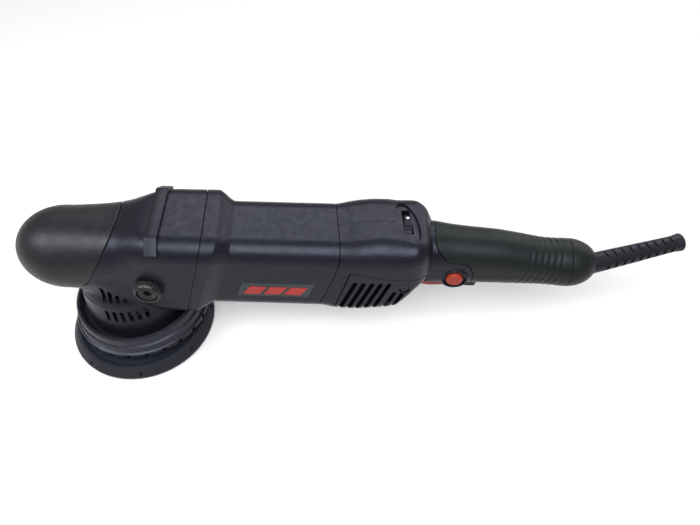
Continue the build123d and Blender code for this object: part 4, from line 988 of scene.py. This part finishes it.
# ------------------------------ vent covers
COVER_OUTLINE = [(188.0, 109.3), (212.0, 104.1), (228.0, 102.1), (245.2, 100.7), (245.2, 46.8), (169.8, 46.8)]
COVER_INNER_Y = 6.25
COVER_SPAN = (160.0, 248.0)
COVER_HOLLOW = (159.0, 249.0)
COVER_FACE = 0.3              # how deep the cover's face and back are under the housing's surface
COVER_BACK = 2.4
COVER_ROWS = 110
VENT_SLOTS = 7
SHORT_SLOTS = 2               # the last ones are shorter and lower
VENT_PITCH = 6.4
VENT_FIRST_X = 183.8
VENT_MIDDLE_Z = 77.2
VENT_LEAN = math.radians(20.0)
VENT_SLOT_WIDTH = 3.5
VENT_SLOT_LENGTH = 46.0
SHORT_SLOT_LENGTH = 34.5
SHORT_SLOT_DROP = 5.3
VENT_SLOT_INNER_Y = 15.0
COVER_SCREW = (228.5, 90.5)
# The screw's boss, its head's recess and its hole: start, length, radius.
SCREW_BOSS = (27.0, 4.6, 5.0)
SCREW_RECESS = (30.3, 9.0, 4.0)
SCREW_HOLE = (20.0, 30.0, 2.5)


def vent_slot(number, side):
    """A cutter for one slanted slot through a cover."""
    short = number >= VENT_SLOTS - SHORT_SLOTS
    middle_x = VENT_FIRST_X + number * VENT_PITCH
    middle_z = VENT_MIDDLE_Z - (SHORT_SLOT_DROP if short else 0.0)
    lean_cos, lean_sin = math.cos(VENT_LEAN), math.sin(VENT_LEAN)
    outline = [(middle_x + a * lean_cos + b * lean_sin, middle_z + b * lean_cos - a * lean_sin)
               for a, b in slot_outline(SHORT_SLOT_LENGTH if short else VENT_SLOT_LENGTH, VENT_SLOT_WIDTH)]
    return prism(outline, side * VENT_SLOT_INNER_Y, side * OUTSIDE_Y)


def screw_drum(sizes, side):
    """A drum about the cover screw's axis from (start, length, radius)."""
    start, length, radius = sizes
    return drum((COVER_SCREW[0], side * start, COVER_SCREW[1]), (0, side, 0), length, radius)


def vent_cover(name, side):
    """One slotted cover with its screw's seat."""
    cover = form_solid(REAR, *COVER_SPAN, COVER_FACE, COVER_ROWS)
    carve(cover, "DIFFERENCE", form_solid(REAR, *COVER_HOLLOW, COVER_BACK, COVER_ROWS))
    outline = rounded(COVER_OUTLINE, VENT_CORNER)
    carve(cover, "INTERSECT", prism(outline, side * COVER_INNER_Y, side * OUTSIDE_Y))
    for number in range(VENT_SLOTS):
        carve(cover, "DIFFERENCE", vent_slot(number, side))
    carve(cover, "UNION", screw_drum(SCREW_BOSS, side))
    carve(cover, "DIFFERENCE", screw_drum(SCREW_RECESS, side))
    carve(cover, "DIFFERENCE", screw_drum(SCREW_HOLE, side))
    finish_piece(cover, f"vent_panel_{name}", "housing", [f"vent_cover_{name}"])


vent_cover("left", -1)
vent_cover("right", 1)
dial_bezel()

# A small pointer stands on the dial's rim.
POINTER = [(-1.5, 23.0), (1.5, 23.0), (0.0, 11.0)]   # distance along the dial, degrees from the top
POINTER_SUNK = 0.6
POINTER_PROUD = 0.12


def pointer_ring(radius):
    """The pointer's outline at a distance from the dial's axis."""
    return np.array([(DIAL_X + along, radius * math.sin(math.radians(turn)),
                      DIAL_Z + radius * math.cos(math.radians(turn))) for along, turn in POINTER])


pointer = from_rings("pointer", [pointer_ring(DIAL_RADIUS - POINTER_SUNK),
                                 pointer_ring(DIAL_RADIUS + POINTER_PROUD)])
finish_piece(pointer, "dial_pointer", "dial", [], body="dial_body")
pointer.data.materials[0] = POINTER_PAINT

# A thin near-black sheet lines the housing behind both covers: painted shade that keeps the vent slots dark
# and stops light showing through them.
SCREEN_SPAN = (174.0, 241.0)
SCREEN_HOLLOW = (173.0, 242.0)
SCREEN_FACE = 3.3
SCREEN_BACK = 4.0
screen = form_solid(REAR, *SCREEN_SPAN, SCREEN_FACE)
carve(screen, "DIFFERENCE", form_solid(REAR, *SCREEN_HOLLOW, SCREEN_BACK))
finish_piece(screen, "vent_shade_screen", "inner_plastic", [])

# ------------------------------ rubber grip
GRIP_START = 246.0
GRIP_END = 356.0
GRIP_ROWS = 240
GRIP_INNER_ROWS = 40
GRIP_INSET = 3.05             # the grip's thickness
RIB_FIRST_X = 316.0
RIB_LAST_X = 352.0
RIB_PITCH = 5.2
RIB_DEPTH = 0.35
RIB_LEAN = 0.28
RIB_FADE_IN = 3.0
RIB_FADE_OUT = 4.0
COLLAR_CLEARANCE = (0.6, 0.5)
COLLAR_LOW = 100.0            # the collar's edge is moved up only above this height
GRIP_FOOT_OPENING = ((260.0, -8.7, 60.0), (287.6, 8.7, 80.0))


def grip_outside(u):
    """The grip's surface with its shallow slanted ribs."""
    points = place(HANDLE, u)
    along = points[..., 0] - RIB_LEAN * (points[..., 2] - AXIS_Z)
    ripple = 0.5 - 0.5 * np.cos((along - RIB_FIRST_X) / RIB_PITCH * 2 * math.pi)
    fade = (np.clip((along - RIB_FIRST_X) / RIB_FADE_IN, 0, 1)
            * np.clip((RIB_LAST_X - points[..., 0]) / RIB_FADE_OUT, 0, 1))
    centre = np.stack([points[..., 0], np.zeros_like(u), np.full_like(u, AXIS_Z) + through(HANDLE, 4, u)], -1)
    out = points - centre
    out = out / np.maximum(np.linalg.norm(out, axis=-1, keepdims=True), 1e-6)
    return points - out * (ripple * fade * RIB_DEPTH)[..., None]


def grip_rows():
    """Rings along the grip's outside, round its end and back along its inside."""
    rows = [grip_outside(np.full(RING, u)) for u in np.linspace(GRIP_START, GRIP_END - 0.4, GRIP_ROWS)]
    rows += [place(HANDLE, np.full(RING, GRIP_END), 0.25), place(HANDLE, np.full(RING, GRIP_END + 0.2), 0.8),
             place(HANDLE, np.full(RING, GRIP_END + 0.2), GRIP_INSET)]
    rows += [place(HANDLE, np.full(RING, u), GRIP_INSET)
             for u in np.linspace(GRIP_END, GRIP_START, GRIP_INNER_ROWS)]
    return rows


def collar_clearance():
    """The collar's outline moved out by the gap round it."""
    gap_x, gap_z = COLLAR_CLEARANCE
    first_x = COLLAR[0][0]
    top_z = COLLAR[0][1]
    return [(x + (gap_x if x > first_x else 0), z + (gap_z if COLLAR_LOW < z < top_z else 0))
            for x, z in COLLAR]


grip = from_rings("grip", grip_rows(), loop=True)
carve(grip, "DIFFERENCE", prism(collar_clearance(), -FAR_SIDE, FAR_SIDE))
carve(grip, "DIFFERENCE", box(*GRIP_FOOT_OPENING))
finish_piece(grip, "grip_rubber_sleeve", "grip", ["handle_grip"])

# ------------------------------ end cap
CAP_X = 357.0
CAP_RISE = -0.8
CAP_EDGE = [(-0.6, 18.0), (-0.6, 18.55), (-0.3, 18.95), (0.3, 19.0)]
CAP_OUTSIDE = (23.0, 19.0)    # length and radius of the round end
CAP_INSIDE = (20.4, 16.4)
SLEEVE_TURN = math.radians(18.0)
SLEEVE_START = np.array((372.0, -2.7, AXIS_Z))
SLEEVE_AXIS = np.array((math.cos(SLEEVE_TURN), math.sin(SLEEVE_TURN), 0.0))
SLEEVE_RADIUS = 8.15
SLEEVE_HALF_REACH = 30.0


def dome_profile(size, angles):
    """(distance along, radius) points round a dome."""
    length, radius = size
    return [(length * math.sin(t), radius * math.cos(t)) for t in angles]


cap_profile = (CAP_EDGE + dome_profile(CAP_OUTSIDE, np.linspace(0.05, 1.13, 28))
               + dome_profile(CAP_INSIDE, np.linspace(1.05, 0.0, 20)))
end_cap = turned("end_cap", (CAP_X, 0, AXIS_Z + CAP_RISE), (1, 0, 0), cap_profile, 160)
sleeve_bore = drum(SLEEVE_START - SLEEVE_HALF_REACH * SLEEVE_AXIS, SLEEVE_AXIS, 2 * SLEEVE_HALF_REACH,
                   SLEEVE_RADIUS)
carve(end_cap, "DIFFERENCE", sleeve_bore)
finish_piece(end_cap, "end_cap", "grip", ["grip_end_cap"])

# ------------------------------ pad foam
ORBIT_RADIUS = 7.5
ORBIT_TURN = math.radians(-101.5)
PAD_CENTRE = np.array((ORBIT_RADIUS * math.cos(ORBIT_TURN), ORBIT_RADIUS * math.sin(ORBIT_TURN), 0.0))
# The foam's section: height, radius.
PAD_PROFILE = [(1.4, 16.0), (1.4, 62.2), (2.7, 62.5), (9.25, 57.5), (9.4, 56.6), (5.4, 54.0), (5.4, 16.0)]
PAD_CORNER = 0.6
PAD_VENTS = 6
PAD_VENT_RADIUS = 4.5
PAD_VENT_REACH = 38.0
PAD_VENT_LENGTH = 20.0
SKIRT_HOLES = 8
SKIRT_HOLE_RADIUS = 1.9
SKIRT_HOLE_LENGTH = 10.0
SKIRT_HOLE_HEIGHT = np.array((0.0, 0.0, 4.9))
SKIRT_HOLE_START = 55.5
SKIRT_TURN = math.radians(-78.6)


def spokes(count, first=0.0):
    """Directions spaced evenly round the pad's axis."""
    turns = [first + 2 * math.pi * number / count for number in range(count)]
    return [np.array((math.cos(turn), math.sin(turn), 0.0)) for turn in turns]


foam = turned("foam", PAD_CENTRE, UPWARDS, rounded(PAD_PROFILE, PAD_CORNER, 4), 240)
for outward in spokes(PAD_VENTS):
    vent_start = PAD_CENTRE + outward * PAD_VENT_REACH
    carve(foam, "DIFFERENCE", drum(vent_start, UPWARDS, PAD_VENT_LENGTH, PAD_VENT_RADIUS))
for outward in spokes(SKIRT_HOLES, SKIRT_TURN):
    hole_start = PAD_CENTRE + SKIRT_HOLE_HEIGHT + outward * SKIRT_HOLE_START
    carve(foam, "DIFFERENCE", drum(hole_start, outward, SKIRT_HOLE_LENGTH, SKIRT_HOLE_RADIUS, 32))
finish_piece(foam, "pad_foam_ring", "foam", ["plate_foam"], body="pad")

# ------------------------------ floor, light and background
FLOOR_HALF_SIZE = 4000.0
FLOOR_COLOR = (0.46, 0.46, 0.46)
BACKGROUND_COLOR = (0.95, 0.97, 1.0)
BACKGROUND_STRENGTH = 0.42
MIDDLE = (0.18, 0.0, 0.09)


def add_floor():
    """A plain pale floor with a slightly uneven gloss."""
    size = FLOOR_HALF_SIZE
    corners = [(-size, -size, 0.0), (size, -size, 0.0), (size, size, 0.0), (-size, size, 0.0)]
    floor = new_object("floor", corners, [(0, 1, 2, 3)])
    finish, tree, shader = material("floor_paint")
    tree.links.new(spread(tree, noise(tree, 3.0), 0.55, 0.62), shader.inputs["Roughness"])
    shader.inputs["Base Color"].default_value = (*FLOOR_COLOR, 1.0)
    shader.inputs["Specular IOR Level"].default_value = 0.1
    floor.data.materials.append(finish)


def area_light(name, position, size, power):
    """A soft rectangular light that faces the tool's middle."""
    data = bpy.data.lights.new(name, "AREA")
    data.shape = "RECTANGLE"
    data.size, data.size_y = size
    data.energy = power
    light = bpy.data.objects.new(name, data)
    bpy.context.scene.collection.objects.link(light)
    light.location = position
    light.rotation_euler = (Vector(MIDDLE) - Vector(position)).to_track_quat("-Z", "Y").to_euler()


def add_background():
    """An even, pale world round the scene."""
    world = bpy.data.worlds.new("studio")
    bpy.context.scene.world = world
    world.use_nodes = True
    background = world.node_tree.nodes["Background"]
    background.inputs["Color"].default_value = (*BACKGROUND_COLOR, 1.0)
    background.inputs["Strength"].default_value = BACKGROUND_STRENGTH
    bpy.context.scene.view_settings.view_transform = "Standard"


add_floor()
area_light("front_softbox", (0.18, -0.64, 1.18), (1.3, 0.80), 36.0)
area_light("overhead_softbox", (0.18, 0.98, 1.25), (1.6, 0.50), 15.0)
area_light("head_softbox", (-0.90, -0.40, 0.98), (0.42, 0.42), 12.0)
area_light("grip_softbox", (1.05, 0.80, 0.62), (0.9, 0.5), 5.0)
add_background()
